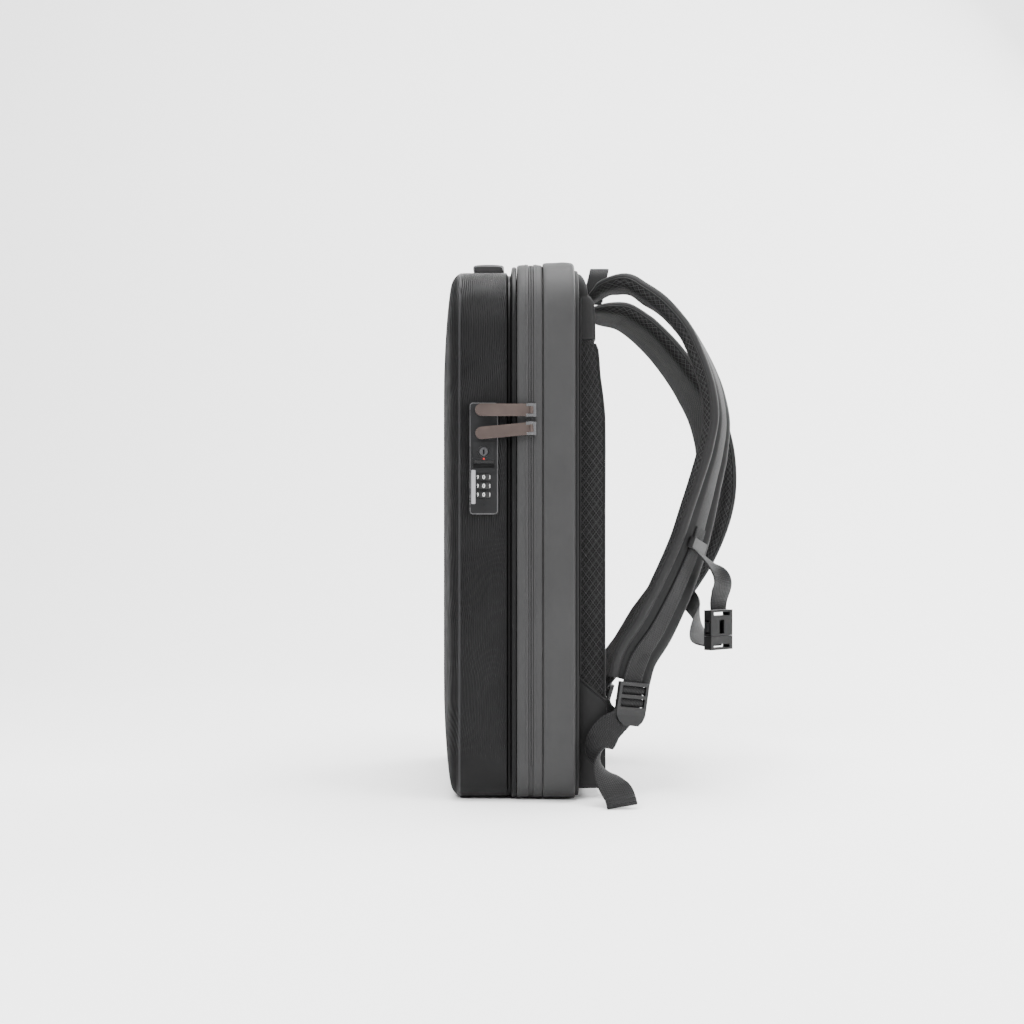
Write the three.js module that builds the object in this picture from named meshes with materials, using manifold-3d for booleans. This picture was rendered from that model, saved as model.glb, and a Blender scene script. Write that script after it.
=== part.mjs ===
// Hard shell backpack standing on its base. Millimetres, +Z up, +X toward the wearer's back.
// The side with the lock faces -Y. The origin is on the flat base, under the front fabric band.
import * as THREE from 'three';
import { mergeVertices } from 'three/addons/utils/BufferGeometryUtils.js';
import Module from 'manifold-3d';

const wasm = await Module();
wasm.setup();

// Body, as seen from the front
const BODY_HEIGHT = 450;
const BODY_WIDTH = 300;
const TOP_RADIUS = 48;
const FOOT_RADIUS = 32;
const CORNER_STEPS = 7;
const SEAT_GAP = 0.3;

// Depths, from the hard front to the back
const BAND_START = -6.1;
const SHELL_BULGE = 17.5;
const SHELL_DEPTH = 38.7;
const SHELL_WALL = 2.5;
const SHELL_DROP = 7.6;
const RECESS_DEPTH = 4.2;
const RECESS_DROP = 10;
const RECESS_FLOOR = 2;
const RIM_DEPTH = 4.1;
const RIM_DROP = 3.2;
const RIM_EDGE = 0.8;
const FRONT_BAND_DEPTH = 21.4;
const FRONT_BAND_DROP = 1.7;
const FRONT_BAND_WALL = 3.6;
const REAR_BAND_DEPTH = 26.4;
const REAR_BAND_WALL = 2.6;
const BAND_CROWN = 0.6;
const BAND_TUCK = 1.3;
const REAR_BAND_TUCK = 2.4;
const SIDE_SHARE = 0.7;

// Zip in the front band
const ZIP_FROM_EDGE = 11.6;
const ZIP_GROOVE_WIDTH = 4;
const ZIP_GROOVE_DEEP = 1.8;
const ZIP_COIL_HIGH = 1.6;

// Back of the bag
const BOARD_THICK = 3;
const BOARD_INSET = 6;
const BOARD_EDGE = 1;
const YOKE_THICK = 8.5;
const YOKE_HEIGHT = 23;
const PAD_TOP_HEIGHT = 36;
const PAD_WIDTH = 250;
const PAD_THICK = 25.6;
const PAD_FOOT = 9;
const PAD_EDGE = 4;
const WING_THICK = 2.4;
const WING_HEIGHT = 92;
const WING_SLANT = 19;

// Carry handle on top of the shell
const HANDLE_LENGTH = 176;
const HANDLE_WIDTH = 26.6;
const HANDLE_THICK = 6.8;
const HANDLE_LIFT = 1.5;
const HANDLE_FOOT_EDGE = 1.2;
const HANDLE_TOP_EDGE = 2.5;
const HANDLE_CROWN = 0.6;
const HANDLE_FROM_RECESS = 15.6;
const MOUNT_LENGTH = 24;
const MOUNT_THICK = 2;
const MOUNT_INSET = 1;

// Lock on the near side wall
const LOCK_HEIGHT = 92;
const LOCK_WIDTH = 23.4;
const LOCK_CENTRE_Z = 283.4;
const LOCK_FROM_RECESS = 18.7;
const LOCK_PROUD = 3.4;
const LOCK_CORNER = 2;
const HOUSING_WIDTH = 20;
const HOUSING_DEEP = 18;
const KEY_RADIUS = 3.55;
const KEY_LENGTH = 13;
const KEY_ABOVE = 5.6;
const KEYWAY_WIDTH = 1.1;
const KEYWAY_HEIGHT = 3.9;
const KEYWAY_DEEP = 7.8;
const BLOCK_WIDTH = 17.2;
const BLOCK_HEIGHT = 16.4;
const BLOCK_PROUD = 1.2;
const RELEASE_HEIGHT = 2.4;
const RELEASE_DEEP = 3;
const RELEASE_TRAVEL = 3.5;
const RELEASE_BELOW = 2.7;
const DIAL_COUNT = 3;
const DIAL_RADIUS = 8.4;
const DIAL_HEIGHT = 5;
const DIAL_PITCH = 7.2;
const DIAL_PROUD = 1.7;
const FIRST_DIAL_BELOW = 15.5;
const AXLE_RADIUS = 1.5;
const AXLE_SEAT = 1;
const LOCK_CLEAR = 0.35;
const RESET_RADIUS = 0.8;
const RESET_ABOVE_FOOT = 8;

// Zip sliders and pulls
const SLIDER_LENGTH = 11;
const SLIDER_WIDTH = 8.4;
const SLIDER_THICK = 1.6;
const SLIDER_UPPER_Z = 323;
const SLIDER_PITCH = 15;
const PULL_LENGTH = 46;
const PULL_HEIGHT = 10.2;
const PULL_THICK = 2.2;
const PULL_LEAN = 4.2;
const LOWER_PULL_DROP = 4.5;
const PIN_RADIUS = 0.9;
const EYE_RADIUS = 1.9;
const EYE_HEIGHT = 6;

// Straps and webbing
const STRAP_REACH = 135;
const STRAP_WIDTH = 66;
const STRAP_THICK = 14;
const STRAP_STEPS = 40;
const WEB_WIDTH = 25;
const RAIL_WIDTH = 20;
const CHEST_WIDTH = 20;
const WEB_THICK = 1.4;
const LOOP_WIDTH = 17;
const LOOP_HEIGHT = 31;
const LOOP_SPREAD = 20;
const LOOP_ABOVE_SEAM = 8;
const LOOP_LEAN = 6;
const LOOP_STEPS = 18;
const RAIL_FROM = 0.75;
const TAIL_REACH = 60;
const ANCHOR_WIDTH = 22;
const ANCHOR_SHARE = 0.74;
const ANCHOR_SHARE_FAR = 0.8;
const ANCHOR_SLACK = 9;
const ANCHOR_LIFT = 7.6;
const ANCHOR_INWARD = 10.8;
const WEB_STEPS = 14;
const WEB_TURN_RATE = 1.7;
const LOCK_BAR = 3;
const LADDER_LENGTH = 36;
const LADDER_THICK = 3.4;
const LADDER_MARGIN = 3;
const LADDER_DROOP = 0.8;
const LADDER_FLAP = 12.2;

// Chest strap
const CHEST_AT = 0.785;
const CHEST_DROOP = 18;
const CHEST_BULGE = 40;
const CHEST_SPAN = 70;
const CHEST_RETURN = 34;
const CHEST_STEPS = 48;
const CHEST_SLIDER_LENGTH = 9;
const CHEST_SLIDER_THICK = 4.6;
const CHEST_SLIDER_LEG = 3.4;
const BUCKLE_LENGTH = 34;
const BUCKLE_WIDTH = 28;
const BUCKLE_THICK = 8;
const BUCKLE_TURN = 47;
const SOCKET_LENGTH = 22;
const BUCKLE_WALL = 1.8;
const BUCKLE_SLOT = 3;
const BUCKLE_BUTTON = 2.2;
const BUCKLE_BELOW = 56;
const BUCKLE_OUT = 22.5;
const BUCKLE_INWARD = 26;

// How far a cut runs past the faces it goes through
const CUT_PAST = 1;

const SHELL_RIM_X = BAND_START - SEAT_GAP;
const SHELL_WALL_END = SHELL_RIM_X - RIM_DEPTH - RECESS_DEPTH;
const CREASE_X = SHELL_WALL_END - SHELL_DEPTH;
const REAR_BAND_START = BAND_START + FRONT_BAND_DEPTH + SEAT_GAP;
const BOARD_START = REAR_BAND_START + REAR_BAND_DEPTH + SEAT_GAP;
const PAD_START = BOARD_START + BOARD_THICK + SEAT_GAP;
const PAD_FACE = BOARD_START + PAD_THICK;
const YOKE_FACE = PAD_START + YOKE_THICK;
const YOKE_TOP = BODY_HEIGHT - BOARD_INSET - BOARD_EDGE;
const PAD_TOP = YOKE_TOP - YOKE_HEIGHT - SEAT_GAP;
const HALF_WIDTH = BODY_WIDTH / 2;

const backpack = new THREE.Group();

const paint = (color, roughness, metalness = 0) =>
  new THREE.MeshStandardMaterial({ color, roughness, metalness });
const shellPlastic = paint(0x34363a, 0.45);
const coatedCloth = paint(0x606163, 0.75);
const padMesh = paint(0x2b2c2e, 0.95);
const smoothCloth = paint(0x4a4b4d, 0.8);
const webCloth = paint(0x3a3b3c, 0.9);
const blackPlastic = paint(0x242526, 0.5);
const lockPlastic = paint(0x3b3d40, 0.4);
const pullMetal = paint(0x7b6e68, 0.35, 0.9);
const chrome = paint(0xb9bcc0, 0.2, 1);

const at = (x, y, z) => new THREE.Vector3(x, y, z);

// Closed solid from points and triangles, turned so that its faces point out
function solidOf(points, faces) {
  let volume = 0;
  for (let i = 0; i < faces.length; i += 3) {
    const [a, b, c] = [points[faces[i]], points[faces[i + 1]], points[faces[i + 2]]];
    volume += a.dot(b.clone().cross(c));
  }
  const turned = volume < 0 ? faces.toReversed() : faces;
  return new wasm.Manifold(new wasm.Mesh({
    numProp: 3,
    vertProperties: new Float32Array(points.flatMap((point) => point.toArray())),
    triVerts: new Uint32Array(turned),
  }));
}

// Solid through rings of equally many points: with flat ends, or joined end to end
function loft(rings, joined = false) {
  const count = rings[0].length;
  const faces = [];
  const rows = joined ? rings.length : rings.length - 1;
  for (let row = 0; row < rows; row += 1) {
    const next = (row + 1) % rings.length;
    for (let i = 0; i < count; i += 1) {
      const j = (i + 1) % count;
      faces.push(row * count + i, row * count + j, next * count + j);
      faces.push(row * count + i, next * count + j, next * count + i);
    }
  }
  if (!joined) {
    const end = (rings.length - 1) * count;
    for (let i = 1; i < count - 1; i += 1) {
      faces.push(0, i + 1, i);
      faces.push(end, end + i, end + i + 1);
    }
  }
  return solidOf(rings.flat(), faces);
}

// Solid of a three.js geometry, moved by a matrix
function solidFrom(geometry, matrix = new THREE.Matrix4()) {
  const bare = geometry.clone();
  bare.deleteAttribute('normal');
  bare.deleteAttribute('uv');
  const merged = mergeVertices(bare.applyMatrix4(matrix), 1e-4);
  const place = merged.getAttribute('position');
  const points = Array.from(
    { length: place.count },
    (_, i) => new THREE.Vector3().fromBufferAttribute(place, i),
  );
  return solidOf(points, Array.from(merged.getIndex().array));
}

// Box between two corners
function block(low, high) {
  const size = high.clone().sub(low);
  const middle = low.clone().add(high).multiplyScalar(0.5);
  return solidFrom(
    new THREE.BoxGeometry(size.x, size.y, size.z),
    new THREE.Matrix4().makeTranslation(middle),
  );
}

// Round bar along X, Y or Z about a middle point
function bar(middle, axis, radius, length, sides = 20) {
  const turn = new THREE.Quaternion().setFromUnitVectors(at(0, 1, 0), axis);
  const matrix = new THREE.Matrix4().compose(middle, turn, at(1, 1, 1));
  return solidFrom(new THREE.CylinderGeometry(radius, radius, length, sides), matrix);
}

function put(name, solid, material) {
  const made = solid.getMesh();
  const geometry = new THREE.BufferGeometry();
  geometry.setAttribute('position', new THREE.BufferAttribute(made.vertProperties, 3));
  geometry.setIndex(new THREE.BufferAttribute(made.triVerts, 1));
  geometry.computeVertexNormals();
  const mesh = new THREE.Mesh(geometry, material);
  mesh.name = name;
  backpack.add(mesh);
}

// Rounded rectangle of the bag at depth x, drawn in from the largest outline at top, sides and foot
function outline(x, top, side, foot, shrink = 0) {
  const half = HALF_WIDTH - side;
  const topRadius = Math.max(TOP_RADIUS - shrink, PAD_EDGE);
  const footRadius = Math.max(FOOT_RADIUS - shrink, PAD_EDGE);
  const corners = [
    { y: half - footRadius, z: foot + footRadius, radius: footRadius, from: -90 },
    { y: half - topRadius, z: BODY_HEIGHT - top - topRadius, radius: topRadius, from: 0 },
    { y: topRadius - half, z: BODY_HEIGHT - top - topRadius, radius: topRadius, from: 90 },
    { y: footRadius - half, z: foot + footRadius, radius: footRadius, from: 180 },
  ];
  return corners.flatMap(({ y, z, radius, from }) =>
    Array.from({ length: CORNER_STEPS + 1 }, (_, step) => {
      const angle = THREE.MathUtils.degToRad(from + (90 * step) / CORNER_STEPS);
      return at(x, y + radius * Math.cos(angle), z + radius * Math.sin(angle));
    }));
}

// Wall ring of a fabric band: rows of share of the depth and lift over the band's line, base kept flat
function band(start, depth, drop, wall, rows) {
  const outer = rows.map(({ share, lift }) =>
    outline(start + share * depth, drop - lift, (drop - lift) * SIDE_SHARE, 0));
  const inner = [1, 0].map((share) =>
    outline(start + share * depth, drop + wall, drop * SIDE_SHARE + wall, wall, wall));
  return loft([...outer, ...inner], true);
}

// Hard shell: the dome's rows give the share of the bulge and of the half width drawn in
const DOME = [
  { rise: 0, inset: 0 },
  { rise: 0.2, inset: 0.013 },
  { rise: 0.42, inset: 0.045 },
  { rise: 0.56, inset: 0.11 },
  { rise: 0.74, inset: 0.27 },
  { rise: 0.9, inset: 0.5 },
  { rise: 1, inset: 0.78 },
];

function shellRing(x, drop, inset, wall = 0, foot = 0) {
  const shrink = Math.min(inset * 0.4, TOP_RADIUS * 0.7) + wall;
  return outline(x, drop + inset + wall, drop * SIDE_SHARE + inset + wall, foot + inset + wall, shrink);
}

function shell() {
  const domed = (wall) => DOME.map(({ rise, inset }) =>
    shellRing(CREASE_X - rise * SHELL_BULGE + wall, SHELL_DROP, inset * HALF_WIDTH, wall));
  const recessMiddle = SHELL_WALL_END + RECESS_DEPTH / 2;
  const outer = [
    shellRing(SHELL_RIM_X, RIM_DROP + RIM_EDGE, 0),
    shellRing(SHELL_RIM_X - RIM_EDGE, RIM_DROP, 0),
    shellRing(SHELL_RIM_X - RIM_DEPTH + RIM_EDGE, RIM_DROP, 0),
    shellRing(SHELL_RIM_X - RIM_DEPTH, RIM_DROP + RIM_EDGE, 0),
    shellRing(recessMiddle + RECESS_FLOOR / 2, RECESS_DROP, 0),
    shellRing(recessMiddle - RECESS_FLOOR / 2, RECESS_DROP, 0),
    shellRing(SHELL_WALL_END, SHELL_DROP, 0),
  ];
  const inner = shellRing(SHELL_RIM_X, RECESS_DROP, 0, SHELL_WALL);
  return loft([...domed(SHELL_WALL).toReversed(), inner, ...outer, ...domed(0)]);
}

const SHELL_SIDE_Y = -(HALF_WIDTH - SHELL_DROP * SIDE_SHARE);
const LOCK_X = SHELL_WALL_END - LOCK_FROM_RECESS;
const LOCK_FACE_Y = SHELL_SIDE_Y - LOCK_PROUD;
const BLOCK_FACE_Y = LOCK_FACE_Y - BLOCK_PROUD;
const HOUSING_BACK_Y = SHELL_SIDE_Y + HOUSING_DEEP;
const HOUSING_TOP_Z = LOCK_CENTRE_Z + KEY_ABOVE + BLOCK_HEIGHT / 2;
const DIAL_Y = LOCK_FACE_Y - DIAL_PROUD + DIAL_RADIUS;
const dialZ = (index) => LOCK_CENTRE_Z - FIRST_DIAL_BELOW - index * DIAL_PITCH;
const LAST_DIAL_Z = dialZ(DIAL_COUNT - 1);
const HOUSING_FOOT_Z = LAST_DIAL_Z - DIAL_HEIGHT;
const AXLE_TOP_Z = dialZ(0) + (DIAL_PITCH + DIAL_HEIGHT) / 2;
const AXLE_FOOT_Z = LAST_DIAL_Z - DIAL_HEIGHT / 2 - AXLE_SEAT;
const WINDOW_HALF = DIAL_HEIGHT / 2 + LOCK_CLEAR;
const RELEASE_TOP_Z = LOCK_CENTRE_Z - RELEASE_BELOW + RELEASE_HEIGHT / 2;
const RELEASE_FOOT_Z = RELEASE_TOP_Z - RELEASE_HEIGHT;

function lockBody() {
  const plateShape = new THREE.Shape();
  const [halfWide, halfHigh] = [LOCK_WIDTH / 2, LOCK_HEIGHT / 2];
  plateShape.moveTo(-halfWide + LOCK_CORNER, -halfHigh);
  plateShape.lineTo(halfWide - LOCK_CORNER, -halfHigh);
  plateShape.absarc(halfWide - LOCK_CORNER, -halfHigh + LOCK_CORNER, LOCK_CORNER, -Math.PI / 2, 0);
  plateShape.absarc(halfWide - LOCK_CORNER, halfHigh - LOCK_CORNER, LOCK_CORNER, 0, Math.PI / 2);
  plateShape.absarc(-halfWide + LOCK_CORNER, halfHigh - LOCK_CORNER, LOCK_CORNER, Math.PI / 2, Math.PI);
  plateShape.absarc(-halfWide + LOCK_CORNER, -halfHigh + LOCK_CORNER, LOCK_CORNER, Math.PI, 1.5 * Math.PI);
  const plateThick = LOCK_PROUD - SEAT_GAP;
  const standUp = new THREE.Matrix4().makeRotationX(Math.PI / 2);
  standUp.setPosition(LOCK_X, LOCK_FACE_Y + plateThick, LOCK_CENTRE_Z);
  let body = solidFrom(
    new THREE.ExtrudeGeometry(plateShape, { depth: plateThick, bevelEnabled: false, curveSegments: 4 }),
    standUp,
  );
  body = body.add(block(
    at(LOCK_X - HOUSING_WIDTH / 2, LOCK_FACE_Y + plateThick / 2, HOUSING_FOOT_Z),
    at(LOCK_X + HOUSING_WIDTH / 2, HOUSING_BACK_Y, HOUSING_TOP_Z),
  ));
  const keyZ = LOCK_CENTRE_Z + KEY_ABOVE;
  body = body.add(block(
    at(LOCK_X - BLOCK_WIDTH / 2, BLOCK_FACE_Y, keyZ - BLOCK_HEIGHT / 2 + RELEASE_HEIGHT / 2),
    at(LOCK_X + BLOCK_WIDTH / 2, LOCK_FACE_Y + plateThick / 2, keyZ + BLOCK_HEIGHT / 2),
  ));
  body = body.subtract(bar(
    at(LOCK_X, BLOCK_FACE_Y + (KEY_LENGTH + LOCK_CLEAR) / 2, keyZ),
    at(0, 1, 0),
    KEY_RADIUS + LOCK_CLEAR,
    KEY_LENGTH + LOCK_CLEAR,
  ));
  body = body.subtract(block(
    at(LOCK_X - BLOCK_WIDTH / 2, BLOCK_FACE_Y - CUT_PAST, RELEASE_FOOT_Z - RELEASE_TRAVEL - LOCK_CLEAR),
    at(LOCK_X + BLOCK_WIDTH / 2, LOCK_FACE_Y + RELEASE_DEEP + LOCK_CLEAR, RELEASE_TOP_Z + LOCK_CLEAR),
  ));
  for (let index = 0; index < DIAL_COUNT; index += 1) {
    body = body.subtract(bar(
      at(LOCK_X, DIAL_Y, dialZ(index)),
      at(0, 0, 1),
      DIAL_RADIUS + LOCK_CLEAR,
      2 * WINDOW_HALF,
      30,
    ));
  }
  body = body.subtract(bar(
    at(LOCK_X, DIAL_Y, (AXLE_TOP_Z + AXLE_FOOT_Z) / 2),
    at(0, 0, 1),
    AXLE_RADIUS + SEAT_GAP,
    AXLE_TOP_Z - AXLE_FOOT_Z,
  ));
  return body.subtract(bar(
    at(LOCK_X, LOCK_FACE_Y, LOCK_CENTRE_Z - LOCK_HEIGHT / 2 + RESET_ABOVE_FOOT),
    at(0, 1, 0),
    RESET_RADIUS,
    2 * RESET_RADIUS,
    10,
  ));
}

function dialAxle() {
  const middle = at(LOCK_X, DIAL_Y, (AXLE_TOP_Z + AXLE_FOOT_Z) / 2);
  return bar(middle, at(0, 0, 1), AXLE_RADIUS, AXLE_TOP_Z - AXLE_FOOT_Z - 2 * SEAT_GAP);
}

function dial(index) {
  const middle = at(LOCK_X, DIAL_Y, dialZ(index));
  const hole = bar(middle, at(0, 0, 1), AXLE_RADIUS + LOCK_CLEAR, DIAL_HEIGHT + CUT_PAST);
  return bar(middle, at(0, 0, 1), DIAL_RADIUS, DIAL_HEIGHT, 30).subtract(hole);
}

function keyPlug() {
  const keyZ = LOCK_CENTRE_Z + KEY_ABOVE;
  const plug = bar(at(LOCK_X, BLOCK_FACE_Y + KEY_LENGTH / 2, keyZ), at(0, 1, 0), KEY_RADIUS, KEY_LENGTH);
  const keyway = block(
    at(LOCK_X - KEYWAY_WIDTH / 2, BLOCK_FACE_Y - CUT_PAST, keyZ - KEYWAY_HEIGHT / 2),
    at(LOCK_X + KEYWAY_WIDTH / 2, BLOCK_FACE_Y + KEYWAY_DEEP, keyZ + KEYWAY_HEIGHT / 2),
  );
  return plug.subtract(keyway);
}

function releaseSlider() {
  return block(
    at(LOCK_X - BLOCK_WIDTH / 2 + LOCK_CLEAR, BLOCK_FACE_Y, RELEASE_FOOT_Z),
    at(LOCK_X + BLOCK_WIDTH / 2 - LOCK_CLEAR, LOCK_FACE_Y + RELEASE_DEEP, RELEASE_TOP_Z),
  );
}

const housingHole = () => block(
  at(LOCK_X - HOUSING_WIDTH / 2 - SEAT_GAP, SHELL_SIDE_Y - CUT_PAST, HOUSING_FOOT_Z - SEAT_GAP),
  at(LOCK_X + HOUSING_WIDTH / 2 + SEAT_GAP, HOUSING_BACK_Y, HOUSING_TOP_Z + SEAT_GAP),
);

put('hard_shell', shell().subtract(housingHole()), shellPlastic);
put('lock_body', lockBody(), lockPlastic);
put('key_plug', keyPlug(), chrome);
put('release_slider', releaseSlider(), blackPlastic);
put('dial_axle', dialAxle(), chrome);
for (let index = 0; index < DIAL_COUNT; index += 1) {
  put(`dial_${index + 1}`, dial(index), blackPlastic);
}

// Fabric bands, with the zip's groove running out at the foot
const zipShare = (offset) => (ZIP_FROM_EDGE + offset) / FRONT_BAND_DEPTH;
const FRONT_BAND_ROWS = [
  { share: 0, lift: -BAND_TUCK },
  { share: 0.07, lift: 0 },
  { share: zipShare(-ZIP_GROOVE_WIDTH / 2) - 0.02, lift: BAND_CROWN },
  { share: zipShare(-ZIP_GROOVE_WIDTH / 2), lift: -ZIP_GROOVE_DEEP },
  { share: zipShare(ZIP_GROOVE_WIDTH / 2), lift: -ZIP_GROOVE_DEEP },
  { share: zipShare(ZIP_GROOVE_WIDTH / 2) + 0.02, lift: BAND_CROWN },
  { share: 0.93, lift: 0 },
  { share: 1, lift: -BAND_TUCK },
];
const REAR_BAND_ROWS = [
  { share: 0, lift: -BAND_TUCK },
  { share: 0.06, lift: 0 },
  { share: 0.5, lift: BAND_CROWN },
  { share: 0.92, lift: 0 },
  { share: 1, lift: -REAR_BAND_TUCK },
];

// Zip coil in its groove, from one foot corner over the top to the other
function zipper() {
  const drop = FRONT_BAND_DROP + ZIP_GROOVE_DEEP;
  const middle = BAND_START + ZIP_FROM_EDGE;
  const half = ZIP_GROOVE_WIDTH / 2 - SEAT_GAP;
  const arch = (x, height) => {
    const lift = drop - SEAT_GAP - height;
    return outline(x, lift, lift * SIDE_SHARE, 0).slice(CORNER_STEPS, 3 * (CORNER_STEPS + 1) + 1);
  };
  const low = [arch(middle - half, 0), arch(middle + half, 0)];
  const high = [arch(middle - half, ZIP_COIL_HIGH), arch(middle + half, ZIP_COIL_HIGH)];
  return loft(low[0].map((_, i) => [low[0][i], low[1][i], high[1][i], high[0][i]]));
}

const frontBand = band(BAND_START, FRONT_BAND_DEPTH, FRONT_BAND_DROP, FRONT_BAND_WALL, FRONT_BAND_ROWS);
const rearBand = band(REAR_BAND_START, REAR_BAND_DEPTH, 0, REAR_BAND_WALL, REAR_BAND_ROWS);
put('front_band', frontBand, coatedCloth);
put('zipper', zipper(), blackPlastic);
put('rear_band', rearBand, coatedCloth);

// Zip sliders and pulls, each pull hung on its slider's pin
const SLIDER_X = BAND_START + ZIP_FROM_EDGE;
const BAND_SIDE_Y = -(HALF_WIDTH - (FRONT_BAND_DROP - BAND_CROWN) * SIDE_SHARE);
const SLIDER_FACE_Y = BAND_SIDE_Y - SEAT_GAP - SLIDER_THICK;
const PIN_Y = SLIDER_FACE_Y - EYE_RADIUS - SEAT_GAP;
const EAR_THICK = (SLIDER_LENGTH - EYE_HEIGHT) / 2 - SEAT_GAP;

function zipSlider(z) {
  const half = SLIDER_LENGTH / 2;
  let body = block(
    at(SLIDER_X - SLIDER_WIDTH / 2, SLIDER_FACE_Y, z - half),
    at(SLIDER_X + SLIDER_WIDTH / 2, BAND_SIDE_Y - SEAT_GAP, z + half),
  );
  for (const low of [z - half, z + half - EAR_THICK]) {
    body = body.add(block(
      at(SLIDER_X - EYE_RADIUS, PIN_Y - EYE_RADIUS, low),
      at(SLIDER_X + EYE_RADIUS, SLIDER_FACE_Y + SLIDER_THICK / 2, low + EAR_THICK),
    ));
  }
  return body.add(bar(at(SLIDER_X, PIN_Y, z), at(0, 0, 1), PIN_RADIUS, SLIDER_LENGTH - EAR_THICK, 12));
}

function zipPull(z, drop) {
  const half = PULL_HEIGHT / 2;
  const neck = EYE_RADIUS + PULL_THICK;
  const shape = new THREE.Shape();
  shape.moveTo(0, -EYE_HEIGHT / 2);
  shape.lineTo(0, EYE_HEIGHT / 2);
  shape.lineTo(-neck, EYE_HEIGHT / 2);
  shape.lineTo(-neck, half);
  shape.lineTo(half - PULL_LENGTH, half);
  shape.absarc(half - PULL_LENGTH, 0, half, Math.PI / 2, 1.5 * Math.PI);
  shape.lineTo(-neck, -half);
  shape.lineTo(-neck, -EYE_HEIGHT / 2);
  const lay = new THREE.Matrix4().makeRotationX(Math.PI / 2);
  lay.setPosition(0, PULL_THICK / 2, 0);
  const plate = solidFrom(
    new THREE.ExtrudeGeometry(shape, { depth: PULL_THICK, bevelEnabled: false, curveSegments: 6 }),
    lay,
  );
  const eye = bar(at(0, 0, 0), at(0, 0, 1), EYE_RADIUS, EYE_HEIGHT, 16);
  const hole = bar(at(0, 0, 0), at(0, 0, 1), PIN_RADIUS + SEAT_GAP, PULL_HEIGHT, 16);
  const degrees = THREE.MathUtils.radToDeg(Math.atan2(drop, PULL_LENGTH));
  return plate.add(eye).subtract(hole)
    .rotate([0, -degrees, 0])
    .rotate([0, 0, PULL_LEAN])
    .translate([SLIDER_X, PIN_Y, z]);
}

put('zip_slider_upper', zipSlider(SLIDER_UPPER_Z), chrome);
put('zip_slider_lower', zipSlider(SLIDER_UPPER_Z - SLIDER_PITCH), chrome);
put('zip_pull_upper', zipPull(SLIDER_UPPER_Z, 0), pullMetal);
put('zip_pull_lower', zipPull(SLIDER_UPPER_Z - SLIDER_PITCH, LOWER_PULL_DROP), pullMetal);

// Carry handle: a crowned grip that bends down to a mount at each end
const SHELL_TOP = BODY_HEIGHT - SHELL_DROP;
const HANDLE_SEAT_Z = SHELL_TOP + MOUNT_THICK + 2 * SEAT_GAP;
const HANDLE_X = SHELL_WALL_END - HANDLE_FROM_RECESS;
const HANDLE_END_ROWS = [
  { along: -1, lift: 0, wide: 0.9 },
  { along: -0.8, lift: 0.25, wide: 1 },
  { along: -0.5, lift: 1, wide: 1 },
  { along: 0.5, lift: 1, wide: 1 },
  { along: 0.8, lift: 0.25, wide: 1 },
  { along: 1, lift: 0, wide: 0.9 },
];

function handleGrip() {
  const half = HANDLE_WIDTH / 2;
  return loft(HANDLE_END_ROWS.map(({ along, lift, wide }) => {
    const y = (along * HANDLE_LENGTH) / 2;
    const z = HANDLE_SEAT_Z + lift * HANDLE_LIFT;
    const [front, back] = [HANDLE_X - half * wide, HANDLE_X + half * wide];
    const top = z + HANDLE_THICK;
    return [
      at(front, y, z + HANDLE_FOOT_EDGE),
      at(front + HANDLE_FOOT_EDGE, y, z),
      at(back - HANDLE_FOOT_EDGE, y, z),
      at(back, y, z + HANDLE_FOOT_EDGE),
      at(back, y, top - HANDLE_TOP_EDGE),
      at(back - HANDLE_TOP_EDGE, y, top - HANDLE_CROWN),
      at(HANDLE_X, y, top),
      at(front + HANDLE_TOP_EDGE, y, top - HANDLE_CROWN),
      at(front, y, top - HANDLE_TOP_EDGE),
    ];
  }));
}

function handleMount(side) {
  const middle = (side * (HANDLE_LENGTH - MOUNT_LENGTH)) / 2;
  return block(
    at(HANDLE_X - HANDLE_WIDTH / 2 + MOUNT_INSET, middle - MOUNT_LENGTH / 2, SHELL_TOP + SEAT_GAP),
    at(HANDLE_X + HANDLE_WIDTH / 2 - MOUNT_INSET, middle + MOUNT_LENGTH / 2, HANDLE_SEAT_Z - SEAT_GAP),
  );
}

put('carry_handle', handleGrip(), blackPlastic);
put('handle_mount_near', handleMount(-1), blackPlastic);
put('handle_mount_far', handleMount(1), blackPlastic);

// Back of the bag: board, padded yoke, smooth upper block and mesh pad
const boardRing = (x, inset) => outline(x, inset, inset, inset * 0.3, inset * 0.5);

put('back_panel', loft([
  boardRing(BOARD_START, BOARD_INSET),
  boardRing(BOARD_START + BOARD_THICK * 0.5, BOARD_INSET),
  boardRing(BOARD_START + BOARD_THICK, BOARD_INSET + BOARD_EDGE),
]), smoothCloth);

// Pad lofted upward: the share of the height, and how far it stands out and narrows there
function pad(foot, top, width, rows) {
  return loft(rows.map(({ up, out, narrow }) => {
    const z = foot + up * (top - foot);
    const half = width / 2 - narrow * PAD_EDGE;
    const face = PAD_START + out * (PAD_FACE - PAD_START);
    const edge = Math.min(PAD_EDGE, (face - PAD_START) * 0.45);
    return [
      at(PAD_START, -half, z),
      at(face - edge, -half, z),
      at(face - edge * 0.3, -half + edge * 0.3, z),
      at(face, -half + edge, z),
      at(face, half - edge, z),
      at(face - edge * 0.3, half - edge * 0.3, z),
      at(face - edge, half, z),
      at(PAD_START, half, z),
    ];
  }));
}

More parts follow.
